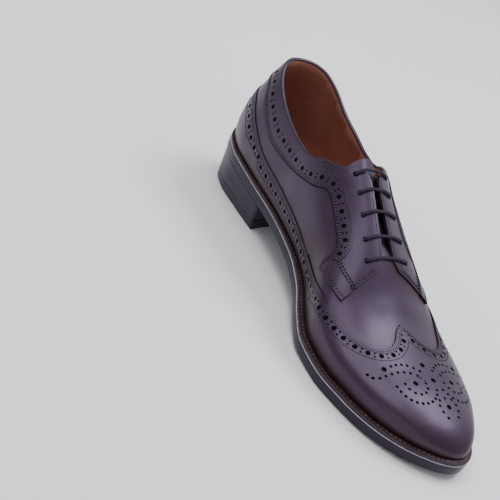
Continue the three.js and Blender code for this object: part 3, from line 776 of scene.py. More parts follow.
def braid_finish():
    """A round waxed lace: fine diagonal strands round and along it, from its own map of turns and length."""
    paint = Paint("lace_waxed")
    map_place = paint.node("ShaderNodeAttribute", {"attribute_name": "braid"}, {}, "Vector")
    split = paint.tree.nodes.new("ShaderNodeSeparateXYZ")
    paint.tree.links.new(map_place.socket, split.inputs[0])
    turns, along = Wire(paint, split.outputs[0]), Wire(paint, split.outputs[1])
    one = (turns * 6 + along * 900).maths("FRACT").maths("PINGPONG", 0.5)
    two = (turns * 6 - along * 900).maths("FRACT").maths("PINGPONG", 0.5)
    strands = one.maths("MAXIMUM", two) * 2.0
    tone = paint.mix(strands.ease(0.2, 0.9), (0.010, 0.0065, 0.013), (0.034, 0.025, 0.042))
    bump = paint.bump(strands, 0.5, 0.0003)
    return paint.surface(Base_Color=tone, Roughness=0.5, Specular_IOR_Level=0.25, Specular_Tint=WAX_SHEEN,
                         Coat_Weight=0.02, Coat_Roughness=0.3, Normal=bump)


lining_leather = tan_lining()
welt_leather = edge_stain("welt_stained", (0.022, 0.011, 0.011), (0.034, 0.018, 0.018), 0.5, 0.1)
sole_leather = edge_stain("sole_stained", (0.007, 0.0055, 0.009), (0.013, 0.0105, 0.016), 0.42, 0.1)
# The pale lip is a painted highlight: a light line along the sole's top edge.
lip_highlight_finish = edge_stain("sole_lip_highlight", (0.52, 0.50, 0.57), (0.66, 0.64, 0.71), 0.35, 0.3)
heel_stack = edge_stain("heel_stack", (0.014, 0.0098, 0.019), (0.023, 0.017, 0.030), 0.45, 0.1)
dark_thread = thread_finish("thread_dark", (0.026, 0.019, 0.029), (0.058, 0.045, 0.064))
welt_thread = thread_finish("thread_welt", (0.10, 0.042, 0.034), (0.20, 0.10, 0.085))
lace_cord = braid_finish()
print("finishes:", len(bpy.data.materials))

# %% [markdown]
# The body of the upper is one shell drawn over the last: the vamp in front, and the same leather under the
# quarters. It is cut from one outline: round the foot, up the heel's seam and along the collar and the slot.
# Inside it lies the tan lining, a second shell of its own, because it has its own colour and its edge shows.

# %% Outline of the body
SHELL = 1.1 * MM
VAMP_SLOT_END = 0.603

def collar_line(end=SLOT_END, drop=0.0, pitch=1.6 * MM):
    """The collar and the slot's edge on the lateral side, from the heel forward."""
    turns = np.linspace(0, turn_of(end), 400)
    arounds = topline(share_of(turns))
    arounds[-1] = topline(end - 1e-6) if end >= SLOT_END else arounds[-1]
    line = np.stack([turns, arounds - drop], -1)
    return spaced(line, pitch)


def foot_line(around, pitch=3 * MM):
    turns = np.linspace(0, 1, 300)
    return spaced(np.stack([turns, np.full(300, float(around))], -1), pitch)


def seam(turn, around_a, around_b, count):
    return np.stack([np.full(count, float(turn)), np.linspace(around_a, around_b, count)], -1)


def chain(*lines):
    """One loop of several lines, with repeated places left out."""
    loop = np.vstack(lines)
    far = np.abs(loop - np.roll(loop, 1, 0)).max(1) > 1e-6
    return loop[far]



def body_outline(drop=0.0):
    collar = collar_line(VAMP_SLOT_END - 0.008, drop=drop)
    bend = spline(((VAMP_SLOT_END - 0.008, 0.944 - drop), (VAMP_SLOT_END - 0.001, 0.965), (VAMP_SLOT_END, 1.0)))
    collar = np.vstack([collar[:-1], spaced(bend, 1.0 * MM)])
    top = float(topline(0)) - drop
    return chain(foot_line(0), seam(1, 0, 2, 14), foot_line(2)[::-1], seam(0, 2, 2 - top, 22),
                 mirrored(collar)[::-1], collar[::-1], seam(0, top, 0, 22))


def level(height):
    return lambda turn, around: np.full(np.shape(turn), height)


print("body outline:", len(body_outline()), "places")

# %% [markdown]
# The polish is burnished darker and redder low over the welt. Beside the seams and in a few clouds the leather
# gets painted shade. Noise can't know where those are, so each corner of a panel gets a painted value that the
# finish reads.

# %% Painted burnish and shade
# Painted shade clouds, where a minus strength lightens: share, around, radius in mm and strength.
PAINTED_SHADE_CLOUDS = ((0.482, 0.235, 11, 0.75), (0.53, 0.30, 8, 0.5), (0.50, 0.74, 9, 0.25), (0.655, 0.62, 7, 0.4),
               (0.615, 1.06, 9, 0.8), (0.645, 1.22, 9, 0.6), (0.585, 0.52, 10, 0.35),
               (0.56, 1.25, 8, 0.4), (0.93, 0.3, 14, 0.3), (0.4, 0.42, 10, -0.2), (0.515, 0.2, 12, 0.7),
               (0.555, 0.26, 9, 0.6))
SHADE_REACH = 2.4 * MM
SLOT_SHADE_REACH = 6 * MM


def corner_points(piece):
    """The piece's mesh points as an array."""
    flat = np.empty(len(piece.data.vertices) * 3)
    piece.data.vertices.foreach_get("co", flat)
    return flat.reshape(-1, 3)


def nearest_to(points, line):
    """How far each point is from a line on the shoe and from its mirror line."""
    nearest = np.full(len(points), 1.0)
    for side in (line, mirrored(line)):
        for place in shoe(side[:, 0], side[:, 1], 0.5 * MM):
            nearest = np.minimum(nearest, np.linalg.norm(points - place, axis=1))
    return nearest


def paint_on(piece, name, values):
    """Writes a painted value for each corner of a piece, or one for all, for its shader to read."""
    layer = piece.data.attributes.get(name) or piece.data.attributes.new(name, "FLOAT", "POINT")
    values = np.broadcast_to(np.clip(values, 0, 1), len(piece.data.vertices))
    layer.data.foreach_set("value", values.astype(np.float32))


def burnish_and_shade_tone(piece):
    """Paints burnish most over the welt and less up the sides, and painted shade in soft clouds and by seams."""
    points = corner_points(piece)
    share = np.clip(points[:, 0] / LENGTH + ORIGIN_AT, 0, 1)
    height = points[:, 2] - HEEL_RISE * underside_rise(share) - UPPER_FOOT
    reach = np.interp(share, (0, 0.3, 0.6, 0.85, 1), (15, 15, 15, 13, 11)) * MM
    low = 0.95 * np.exp(-(np.maximum(height, 0) / reach) ** 1.5)
    for at, around, radius, strength in PAINTED_SHADE_CLOUDS:
        middle = last_point(turn_of(at), around)
        low += strength * np.exp(-(np.linalg.norm(points - middle, axis=1) / (radius * MM)) ** 2)
    if piece.name in ("vamp", "quarters"):
        for line, strength in SHADED_SEAMS:
            low += strength * np.exp(-(nearest_to(points, line) / SHADE_REACH) ** 2)
    paint_on(piece, "low", low)


def settle(piece, slot_name, *nodes):
    """The last steps for each piece: it rides on the shoe and stands for its solids, which are hidden. slot_name
    is not used.
    """
    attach(piece, "root")
    if nodes:
        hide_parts(*nodes)
    print(piece.name, len(piece.data.polygons), "faces")
print("tones:", len(PAINTED_SHADE_CLOUDS), "clouds")

# %% Body and lining
body = Sheet()
panel(body, body_outline(), level(0.0), level(-SHELL), grid=3.0)
vamp = body.build("vamp", leather)

inner = Sheet()
panel(inner, body_outline(0.006), level(-SHELL), level(-WALL), grid=4.0)
lining = inner.build("lining", lining_leather)
slot_edge = collar_line(0.6)
slot_edge = slot_edge[share_of(slot_edge[:, 0]) > 0.45]
# Painted shade on the lining beside the slot, near black within a few mm.
paint_on(lining, "stain_and_shade", 1.6 - nearest_to(corner_points(lining), slot_edge) / SLOT_SHADE_REACH)
print("body and lining:", len(body.faces), "and", len(inner.faces), "faces")

# %% [markdown]
# The quarters wrap the heel and meet over the instep. Their front ends as square tabs that lie on the vamp,
# which makes this a derby. They are a second layer, so they stand above the vamp by their own thickness, more
# at the facings, where leather, stay and lining are sewn together.

# %% Quarters with eyelets
WING_EDGE = ((0, 0.4), (0.05, 0.385), (0.095, 0.355), (0.125, 0.325), (0.15, 0.3), (0.175, 0.275),
             (0.208, 0.25), (0.242, 0.225), (0.279, 0.2), (0.326, 0.178), (0.372, 0.162), (0.42, 0.15),
             (0.47, 0.14), (0.52, 0.15), (0.573, 0.22), (0.623, 0.345), (0.671, 0.448), (0.701, 0.508),
             (0.731, 0.570), (0.756, 0.641), (0.7715, 0.734), (0.771, 0.834), (0.754, 0.908),
             (0.733, 0.955), (0.722, 1.0))
TAB_FRONT = ((0.6225, 0.897), (0.631, 0.81), (0.6437, 0.689), (0.6555, 0.564))
TAB_REAR = ((0.6555, 0.564), (0.6225, 0.47), (0.594, 0.392), (0.5638, 0.313))
VAMP_SEAM = ((0.5638, 0.313), (0.514, 0.217), (0.495, 0.165), (0.485, 0.11))
HIDDEN = 0.11
QUARTER_LIFT = 0.45 * MM
FACING_LIFT = 0.95 * MM
EYELET = 1.85 * MM


def distance_from(line):
    """A function that gives the distance of places on the shoe from a line."""
    dots = spaced(line, 1.5 * MM)
    tree = kdtree.KDTree(len(dots))
    for i, point in enumerate(last_point(*dots.T)):
        tree.insert(point, i)
    tree.balance()

    def measure(turn, around):
        points = last_point(turn, around)
        flat = points.reshape(-1, 3)
        return np.array([tree.find(p)[2] for p in flat]).reshape(points.shape[:-1])

    return measure


def ease(x, start, end):
    t = np.clip((np.asarray(x, float) - start) / (end - start), 0, 1)
    return t * t * (3 - 2 * t)


front_edge = chain(collar_line(0.605)[-60:], spline(TAB_FRONT))
both_fronts = distance_from(front_edge)


def quarter_lift(turn, around):
    near = both_fronts(turn, np.where(around > 1, 2 - around, around))
    rise = (FACING_LIFT - QUARTER_LIFT) * (1 - ease(near, 3 * MM, 16 * MM))
    return QUARTER_LIFT + rise * ease(share_of(turn), 0.36, 0.44)


def quarter_outline():
    hidden = [(s, a - HIDDEN) for s, a in WING_EDGE if s < 0.45][::-1]
    hidden_line = spaced(spline(hidden), 3 * MM)
    return chain(collar_line(0.605, 0.002), straight(TAB_FRONT), straight(TAB_REAR),
                 spaced(spline(VAMP_SEAM), 2 * MM), hidden_line, seam(0, 0.4 - HIDDEN, float(topline(0)), 14))


eyelet_rings = [ring((float(turn_of(s)), EYELET_AROUND), EYELET, 14) for s in EYELETS]
quarter = panel_pair("quarters", quarter_outline(), quarter_lift, level(-0.15 * MM), eyelet_rings,
                     hole_depth=0.85 * MM, grid=2.6)
print("quarters:", len(eyelet_rings), "eyelets a side")

# %% [markdown]
# Broguing: big holes with pairs of small ones between them, in a row along each gimped edge. A maker punches
# them with a tube, before sewing. They are cut into the panel here as real rings, because a dark dot painted
# on would have no rim to catch the light. Each row follows its edge at a fixed distance.

# %% Rows of punched holes
BIG_HOLE = 1.68 * MM
SMALL_HOLE = 0.78 * MM
ROW_PITCH = 8.2 * MM
PAIR_APART = 1.15 * MM


def punched_row(line, pitch=ROW_PITCH):
    """Rings along a line: one big hole, then a pair of small ones across the line, and so on."""
    fine = spaced(line, count=8 * count_on(line, pitch))
    left = leftward(fine)
    holes = [ring(fine[i], BIG_HOLE, 12) for i in range(4, len(fine) - 1, 8)]
    for i in range(0, len(fine), 8):
        for way in (-1, 1):
            spot = moved(fine[i:i + 1], left[i:i + 1] * (way * PAIR_APART))[0]
            holes.append(ring(spot, SMALL_HOLE, 7))
    return holes


# %% [markdown]
# The band lies on the quarter: it follows the collar, turns down beside the facing and ends in the tab. Its
# rear edge is gimped and holds two rows of stitches; its front edge is finely gimped over the facing.

# %% Band
BAND_REAR = ((0, 0.5), (0.05, 0.49), (0.09, 0.455), (0.132, 0.405), (0.17, 0.365), (0.205, 0.34),
             (0.252, 0.33), (0.296, 0.33), (0.33, 0.345), (0.36, 0.37), (0.39, 0.408), (0.411, 0.46),
             (0.428, 0.508), (0.447, 0.527), (0.47, 0.53), (0.516, 0.527), (0.542, 0.528), (0.556, 0.505),
             (0.557, 0.46), (0.555, 0.4), (0.5545, 0.35), (0.5638, 0.313))
SHADED_SEAMS = [(spaced(line, 1.5 * MM), strength) for line, strength in (
    (spline(WING_EDGE), 0.95), (spline(BAND_REAR), 0.6),
    (spline(TAB_FRONT), 0.55), (collar_line(0.6)[-50:], 0.5))]
BAND_FRONT = ((0.368, 0.553), (0.3838, 0.567), (0.4064, 0.605), (0.4299, 0.638), (0.4522, 0.654),
              (0.4767, 0.671), (0.5005, 0.684), (0.5203, 0.687), (0.5423, 0.68), (0.5619, 0.658),
              (0.575, 0.618), (0.5805, 0.545))
BOX_LINE = ((0.5805, 0.519), (0.6032, 0.554), (0.6191, 0.592), (0.6335, 0.63), (0.6478, 0.655))
BAND_HOLES = ((0.0, 0.56), (0.05, 0.548), (0.09, 0.518), (0.132, 0.468), (0.17, 0.43), (0.205, 0.406),
              (0.2747, 0.388), (0.3053, 0.387), (0.3486, 0.4), (0.369, 0.431), (0.3953, 0.493),
              (0.427, 0.572), (0.462, 0.6), (0.4917, 0.602), (0.5225, 0.602), (0.5558, 0.598),
              (0.5752, 0.508))
BAND_STEP = 0.55 * MM
BAND_PITCH = 9.8 * MM


def band_lift(turn, around):
    return quarter_lift(turn, around) + BAND_STEP


band_rear = gimped(spline(BAND_REAR)[::-1])[::-1]
band_front = gimped(spline(BAND_FRONT)[::-1], 1.6 * MM, 0.4 * MM)[::-1]
tab_end = straight(((0.6555, 0.564), (0.6478, 0.655)))
collar_part = collar_line(0.368, 0.004)
band_outline = chain(band_rear, straight(TAB_REAR)[::-1], tab_end, straight(BOX_LINE)[::-1],
                     band_front[::-1], collar_part[::-1], seam(0, float(topline(0)), 0.5, 6))
band = panel_pair("band", band_outline, band_lift, level(0.3 * MM), punched_row(spline(BAND_HOLES), BAND_PITCH),
                  hole_depth=0.44 * MM, grid=2.0)
for piece in (vamp, quarter, band):
    burnish_and_shade_tone(piece)
print("band:", len(band.data.polygons), "faces")

# %% [markdown]
# The wing cap covers the toe and runs back along both sides to the heel. Seen from above its edge draws a W
# with its peak on the ridge. It carries the same row of holes, and a rosette of punched arcs on the toe.

# %% Medallion on the toe


def toe_places(spots):
    """Places for (ahead, across) in mm, measured from 0.8 of the length and over the leather from the ridge."""
    out = []
    for ahead, across in spots:
        share = 0.8 + ahead * MM / LENGTH
        arounds = 1 + np.sign(across) * np.linspace(0, 1, 90)
        line = np.stack([np.full(90, turn_of(share)), arounds], -1)
        out.append((float(turn_of(share)), float(np.interp(abs(across) * MM, lengths(line), arounds))))
    return out


def arc_spots(centre, radius, start, end, count):
    """Spots on an arc about a centre; angles in degrees from straight ahead, turning to the medial side."""
    angles = np.radians(np.linspace(start, end, count))
    return [(centre[0] + radius * np.cos(a), centre[1] + radius * np.sin(a)) for a in angles]


# Spots are (ahead, across) in mm for one half; MIDDLE is where the pattern's own middle line lies.
MIDDLE = -2.0
CURL = (17.5, -14.5)
MEDALLION_SMALL = 1.08 * MM
MEDALLION_BIG = 1.75 * MM
half = arc_spots(CURL, 7.2, -100, 120, 8)
half += arc_spots(CURL, 13.2, -92, 66, 11)
half += [(3.3, -22.9), (3.0, -19.0), (3.2, -15.2), (4.2, -11.6), (6.2, -8.2), (8.6, -5.0)]
half += [(4.6, -39.1), (7.6, -37.4), (9.1, -33.9), (8.8, -29.8), (8.3, -25.4), (8.0, -21.0), (8.5, -16.9),
         (9.6, -12.9), (11.8, -9.2), (15.2, -6.8)]
drop_shape = [(29.6, -4.6), (33.0, -6.4), (37.0, -6.0), (40.8, -4.0), (43.6, -1.2)]
big_spots = [(4.3, -28.2), (17.0, -14.5)]
small_spots = [(x, MIDDLE + way * y) for x, y in half + drop_shape for way in (1, -1)]
small_spots += [(28.6, MIDDLE), (44.6, MIDDLE)]
big_spots = [(x, MIDDLE + way * y) for x, y in big_spots for way in (1, -1)]
big_spots += [(4.5, MIDDLE), (15.8, MIDDLE), (34.3, MIDDLE)]
medallion = [ring(p, MEDALLION_SMALL, 9) for p in toe_places(small_spots)]
medallion += [ring(p, MEDALLION_BIG, 13) for p in toe_places(big_spots)]
print("medallion:", len(medallion), "holes")

# %% Wing cap
HOLE_ROW_IN = 4.4 * MM


def wing_lift(turn, around):
    share = share_of(turn)
    return (0.9 + 0.28 * (1 - ease(share, 0.44, 0.52))) * MM


wing_smooth = spline(WING_EDGE)
wing_edge = gimped(wing_smooth[::-1])[::-1]
wing_outline = chain(foot_line(0.012), seam(1, 0.012, 1.988, 14), foot_line(1.988)[::-1],
                     seam(0, 1.988, 1.6, 14), mirrored(wing_edge)[::-1], wing_edge[::-1],
                     seam(0, 0.4, 0.012, 14))


def wing_strip(line):
    """How much wider the sewn strip is at the heel than at the toe."""
    return 1.5 * MM * (1 - ease(share_of(line[:, 0]), 0.3, 0.58))[:, None]


wing_row = moved(wing_smooth, leftward(wing_smooth) * (-HOLE_ROW_IN - wing_strip(wing_smooth)))
lateral_row = punched_row(wing_row[wing_row[:, 1] < 0.985])
wing_holes = lateral_row + [mirrored(hole) for hole in lateral_row] + medallion
wings = Sheet()
panel(wings, wing_outline, wing_lift, level(-0.1 * MM), wing_holes, hole_depth=0.68 * MM, grid=2.2)
wing = wings.build("wing_cap", leather)
burnish_and_shade_tone(wing)
print("wing cap:", len(wing_holes), "holes")

# %% [markdown]
# Where the quarters meet at the heel a narrow strip, the backstay, covers the seam. Its head hooks over the
# collar and it ends under the wing. The collar itself is a rolled edge, the leather turned over a cord and
# waxed dark. A swept tube along the collar's curve makes it, thinning out at the facings.

# %% Backstay
STAY_HALF = 4.6 * MM
STAY_HEAD = 8.5 * MM
STAY_BURNISH = 0.6
STAY_ROWS = 26


def stay_outline():
    heights = np.linspace(0.34, float(topline(0)) - 0.004, STAY_ROWS)
    centre = np.stack([np.zeros(STAY_ROWS), heights], -1)
    climb = np.linspace(0, 1, STAY_ROWS)
    half_width = STAY_HALF + (STAY_HEAD - STAY_HALF) * ease(climb, 0.80, 0.97) + 1.5 * MM * (1 - climb)
    side = moved(centre, np.stack([np.zeros(STAY_ROWS), -half_width, np.zeros(STAY_ROWS)], -1))
    top = spaced(np.vstack([side[-1:], centre[-1:]]), 1.2 * MM)
    return chain(centre[:-1], top[::-1][:-1], side[::-1])


def stay_lift(turn, around):
    return band_lift(turn, around) + 0.3 * MM


backstay = panel_pair("backstay", stay_outline(), stay_lift, level(0.1 * MM), grid=1.6)
paint_on(backstay, "low", STAY_BURNISH)
print("backstay:", len(backstay.data.polygons), "faces")

# %% Rolled collar edge
ROLL_BURNISH = 0.95
ROLL_STAIN = 0.5
ROLL_ACROSS = 1.35 * MM
ROLL_UP = 0.8 * MM
ROLL_END = 0.444
ROLL_STEP = 1.4
ROLL_SUNK = 0.42 * MM
TUBE_SIDES = 12


def tube(sheet, points, across, up, size_across, size_up):
    """An oval tube along points; across and up are unit vectors at each point, sizes may vary."""
    angles = np.linspace(0, 2 * np.pi, TUBE_SIDES, endpoint=False)
    rows = []
    for i, point in enumerate(points):
        wide = np.outer(np.cos(angles), across[i]) * size_across[i]
        rows.append(sheet.add(point + (wide + np.outer(np.sin(angles), up[i]) * size_up[i])))
    sheet.strip(rows, True)
    sheet.close(rows)


roll_line = collar_line(ROLL_END, 0.0, ROLL_STEP * MM)
roll_line = np.vstack([mirrored(roll_line)[:-1], roll_line])
roll_normal = outward(*roll_line.T)
roll_points = shoe(*roll_line.T, np.full(len(roll_line), -ROLL_SUNK))
roll_up = np.cross(unit(np.gradient(roll_points, axis=0)), roll_normal)
roll_up *= np.sign(roll_up[:, 2:3])
roll_far = np.minimum(np.arange(len(roll_line)), np.arange(len(roll_line))[::-1]) * ROLL_STEP
roll_size = 0.35 + 0.65 * ease(roll_far, 0, 7)
rolled = Sheet()
tube(rolled, roll_points, roll_up, roll_normal, ROLL_UP * roll_size, ROLL_ACROSS * roll_size)
roll = rolled.build("collar_roll", leather)
paint_on(roll, "low", ROLL_BURNISH)
paint_on(roll, "stain_and_shade", ROLL_STAIN)
print("collar roll:", len(roll.data.polygons), "faces")

# %% [markdown]
# The tongue is the vamp's own end, carried up under the lacing and cut square with round corners. It is a flat
# sheet with a soft edge. Near the slot's end it rises until it runs out of the vamp without a step.

# %% Tongue
TONGUE_BACK = 0.41
TONGUE_SIDE = 0.62
TONGUE_DEEP = -3.3 * MM
TONGUE_RISE = 3.05 * MM
TONGUE_THICK = 1.9 * MM


def tongue_lift(turn, around):
    return TONGUE_DEEP + TONGUE_RISE * ease(share_of(turn), 0.565, 0.606)


def tongue_under(turn, around):
    return tongue_lift(turn, around) - TONGUE_THICK


def tongue_outline():
    side = [(0.65, 1.0), (0.652, 0.9), (0.65, 0.75), (0.64, 0.655), (0.6, TONGUE_SIDE), (0.5, TONGUE_SIDE),
            (0.43, TONGUE_SIDE), (0.418, TONGUE_SIDE + 0.008), (0.412, 0.65), (TONGUE_BACK, 0.7),
            (TONGUE_BACK, 0.85), (TONGUE_BACK, 1.0)]
    far = [(TONGUE_BACK, 1.0), (TONGUE_BACK + 0.001, 1.05), (0.416, 1.085), (0.43, 1.115), (0.455, 1.14),
           (0.5, 1.19), (0.6, 1.3), (0.64, 1.33), (0.652, 1.22), (0.652, 1.1), (0.65, 1.0)]
    return chain(spaced(spline(side), 1.6 * MM), spaced(spline(far), 1.6 * MM))


tongues = Sheet()
panel(tongues, tongue_outline(), tongue_lift, tongue_under, grid=2.2, bevel=0.5 * MM)
tongue = tongues.build("tongue_leather", tongue_leather)
tongue_share = corner_points(tongue)[:, 0] / LENGTH + ORIGIN_AT
# The tongue lies deep between the facings: low and stain paint shade on all of it but its top end.
paint_on(tongue, "low", np.interp(tongue_share, (0.42, 0.46), (0, 1)))
paint_on(tongue, "stain_and_shade", np.interp(tongue_share, (0.425, 0.465), (0, 0.8)))
print("tongue:", len(tongue.data.polygons), "faces")

# %% [markdown]
# Straight lacing: five bars lie across, and under the facings the lace climbs from pair to pair. One lace
# makes all of it, so it is drawn as two runs from the bottom bar upward. A run is a list of stops, and each
# eyelet adds a dive through the leather. The ends stop under the top eyelets, because the photo shows no bow.

# %% Lace
LACE = 2.1 * MM
LACE_STEP = 0.8 * MM
LACE_OVER = FACING_LIFT + 0.47 * LACE
LACE_UNDER = -WALL - 0.32 * LACE
CURVE_SPLITS = 12


def lace_stop(number, side, lift, shift=0.0):
    """A place by eyelet number from the top, side 1 medial or -1 lateral, and height over the last."""
    around = 1 + side * (1 - EYELET_AROUND - shift)
    return shoe(turn_of(EYELETS[number - 1]), around, lift)


def bar_over(number, side):
    """From one side's eyelet up, across the slot and down into the other side's eyelet."""
    outs = ((0.0, LACE_OVER - 0.75 * LACE), (0.006, LACE_OVER - 0.22 * LACE), (0.022, LACE_OVER),
            (0.06, LACE_OVER), (0.11, LACE_OVER - 0.1 * MM), (0.16, LACE_OVER - 0.6 * MM),
            (0.2, LACE_OVER - 1.15 * MM))
    here = [lace_stop(number, side, lift, shift) for shift, lift in outs]
    there = [lace_stop(number, -side, lift, shift) for shift, lift in outs[::-1]]
    return here + there


def dive(number, side):
    return [lace_stop(number, side, -0.2 * MM), lace_stop(number, side, LACE_UNDER + 0.35 * LACE, 0.004)]


def climb(side, *numbers):
    """Under the facing, past the named eyelets."""
    return [lace_stop(n, side, LACE_UNDER, 0.012) for n in numbers]


LATERAL, MEDIAL = -1, 1
run_a = (bar_over(5, MEDIAL) + dive(5, LATERAL) + climb(LATERAL, 4) + dive(4, LATERAL)[::-1]
         + bar_over(4, LATERAL) + dive(4, MEDIAL) + climb(MEDIAL, 3) + dive(2, MEDIAL)[::-1]
         + bar_over(2, MEDIAL) + dive(2, LATERAL))
run_b = (dive(5, MEDIAL)[::-1] + climb(MEDIAL, 4) + dive(3, MEDIAL)[::-1]
         + bar_over(3, MEDIAL) + dive(3, LATERAL) + climb(LATERAL, 2) + dive(1, LATERAL)[::-1]
         + bar_over(1, LATERAL) + dive(1, MEDIAL))


def between(p, q, start, end, t):
    return ((end - t) * p + (t - start) * q) / (end - start)


def round_line(stops):
    """A smooth 3-D line through the stops, centripetal so that it doesn't loop, in even steps."""
    dots = [np.asarray(p, float) for p in stops]
    kept = [dots[0]] + [b for a, b in zip(dots, dots[1:]) if np.linalg.norm(b - a) > 0.3 * MM]
    dots = [2 * kept[0] - kept[1]] + kept + [2 * kept[-1] - kept[-2]]
    out = []
    for four in zip(dots, dots[1:], dots[2:], dots[3:]):
        knots = np.cumsum([0] + [np.linalg.norm(q - p) ** 0.5 for p, q in zip(four, four[1:])])
        for t in np.linspace(knots[1], knots[2], CURVE_SPLITS, endpoint=False):
            a = [between(four[i], four[i + 1], knots[i], knots[i + 1], t) for i in range(3)]
            b = [between(a[i], a[i + 1], knots[i], knots[i + 2], t) for i in range(2)]
            out.append(between(b[0], b[1], knots[1], knots[2], t))
    out = np.array(out + [kept[-1]])
    run = np.concatenate([[0], np.cumsum(np.linalg.norm(np.diff(out, axis=0), axis=1))])
    at = np.linspace(0, run[-1], max(int(run[-1] / LACE_STEP), 2))
    return np.stack([np.interp(at, run, column) for column in out.T], -1)


def frames_along(points):
    """Two unit vectors square to the line at each point, turned as little as possible from one to the next."""
    run = unit(np.gradient(points, axis=0))
    side = np.cross(run[0], (0, 0, 1.0))
    across = []
    for tangent in run:
        side = side - tangent * (side @ tangent)
        side /= np.linalg.norm(side)
        across.append(side)
    across = np.array(across)
    return across, np.cross(run, across)


laces = Sheet()
braid_values = []
for stops in (run_a, run_b):
    points = round_line(stops)
    across, up = frames_along(points)
    size = np.full(len(points), LACE / 2)
    tube(laces, points, across, up, size, size)
    for i in range(len(points)):
        braid_values += [(k / TUBE_SIDES, i * LACE_STEP, 0.0) for k in range(TUBE_SIDES)]
lace = laces.build("lace", lace_cord, weld=1e-7)
lace_map = lace.data.attributes.new("braid", "FLOAT_VECTOR", "POINT")
if len(braid_values) == len(lace.data.vertices):
    lace_map.data.foreach_set("vector", np.array(braid_values, np.float32).ravel())
print("lace:", len(lace.data.vertices), "corners of", len(braid_values))

# %% [markdown]
# Under the upper come the bottom parts. Welt, outsole and insole all follow the last's foot line, so each is a
# profile swept round that one loop: pairs of numbers that say how far out and how high. Sweeping keeps the
# edges true to each other, and every small round on an edge is simply two more points in the profile.

# %% Loops round the foot
STATIONS = 170
loop_turns = np.concatenate([np.linspace(0, 1, STATIONS + 1), np.linspace(1, 0, STATIONS + 1)[1:-1]])
loop_sides = np.concatenate([np.zeros(STATIONS + 1), np.full(STATIONS - 1, 2.0)])
loop_share = share_of(loop_turns)
loop_plan = last_point(loop_turns, loop_sides)[:, :2]
loop_plan[:, 0] = (loop_share - ORIGIN_AT) * LENGTH
loop_run = np.roll(loop_plan, -1, 0) - np.roll(loop_plan, 1, 0)
loop_out = unit(np.stack([loop_run[:, 1], -loop_run[:, 0]], -1))
loop_under = HEEL_RISE * underside_rise(loop_share)
w = BALL_WIDTH * welt_share(loop_share)


def loop_at(push, rise):
    plan = loop_plan + loop_out * np.broadcast_to(push, len(loop_plan))[:, None]
    return np.column_stack([plan, loop_under + rise])


def sweep(sheet, profile, closed=False):
    """Sweeps a profile of (out, up) round the foot; closed also joins its last row to its first."""
    rows = [sheet.add(loop_at(push, rise)) for push, rise in profile]
    sheet.strip(rows + rows[:1] if closed else rows, True)
    return rows


def cap(sheet, row, up, columns=10):
    """Closes a loop with rows across it, from the lateral to the medial side."""
    points = np.vstack(sheet.points)
    n = len(row)
    lines = []
    for i in range(STATIONS + 1):
        lateral, medial = points[row[i]], points[row[(n - i) % n]]
        t = np.linspace(0, 1, columns + 1)[:, None]
        lines.append(sheet.add(lateral * (1 - t) + medial * t))
    for a, b in zip(lines, lines[1:]):
        for j in range(columns):
            quad = (a[j], b[j], b[j + 1], a[j + 1])
            sheet.faces.append(quad if up else quad[::-1])


print("foot line:", len(loop_plan), "places")

# %% Outsole with its rounded edge
sole = Sheet()
profile = [(w - 2.6 * MM, OUTSOLE), (w - 0.75 * MM, OUTSOLE), (w - 0.35 * MM, OUTSOLE - 0.06 * MM),
           (w - 0.1 * MM, OUTSOLE - 0.3 * MM), (w, OUTSOLE - 0.8 * MM), (w + 0.05 * MM, OUTSOLE - 3.0 * MM),
           (w - 0.1 * MM, 1.6 * MM), (w - 0.3 * MM, 0.7 * MM), (w - 0.75 * MM, 0.22 * MM),
           (w - 1.5 * MM, 0.0)]
rows = sweep(sole, profile)
cap(sole, rows[0], True)
cap(sole, rows[-1], False)
outsole = sole.build("outsole_leather", sole_leather)
print("outsole:", len(outsole.data.polygons), "faces")

# %% Welt with a stitch groove
WELT_TOP = OUTSOLE + GAP + WELT
INNER_EDGE = -WALL - 2.5 * MM
strip = Sheet()
groove = 0.55 * w
profile = [(INNER_EDGE, OUTSOLE + GAP * 0.5), (INNER_EDGE, WELT_TOP), (-0.5 * MM, WELT_TOP),
           (0.45 * MM, WELT_TOP - 0.3 * MM), (groove - 0.9 * MM, WELT_TOP - 0.05 * MM),
           (groove - 0.45 * MM, WELT_TOP - 0.12 * MM), (groove, WELT_TOP - 0.35 * MM),
           (groove + 0.45 * MM, WELT_TOP - 0.12 * MM), (groove + 0.9 * MM, WELT_TOP - 0.05 * MM),
           (w - 0.55 * MM, WELT_TOP - 0.06 * MM), (w - 0.2 * MM, WELT_TOP - 0.2 * MM),
           (w, WELT_TOP - 0.55 * MM), (w - 0.02 * MM, OUTSOLE + 0.9 * MM),
           (w - 0.25 * MM, OUTSOLE + 0.45 * MM), (w - 0.7 * MM, OUTSOLE + GAP * 0.5)]
sweep(strip, profile, True)
welt = strip.build("welt_leather", welt_leather)
print("welt:", len(welt.data.polygons), "faces")

# %% Painted highlight: a pale line where sole and welt meet
lip = Sheet()
profile = [(w - 0.9 * MM, OUTSOLE - 0.02 * MM), (w - 0.24 * MM, OUTSOLE + 0.14 * MM),
           (w, OUTSOLE + 0.11 * MM), (w + 0.1 * MM, OUTSOLE - 0.02 * MM),
           (w + 0.05 * MM, OUTSOLE - 0.14 * MM), (w - 0.1 * MM, OUTSOLE - 0.22 * MM),
           (w - 0.9 * MM, OUTSOLE - 0.22 * MM)]
sweep(lip, profile, True)
sole_highlight_line = lip.build("sole_highlight_line", lip_highlight_finish)
print("pale line:", len(sole_highlight_line.data.polygons), "faces")

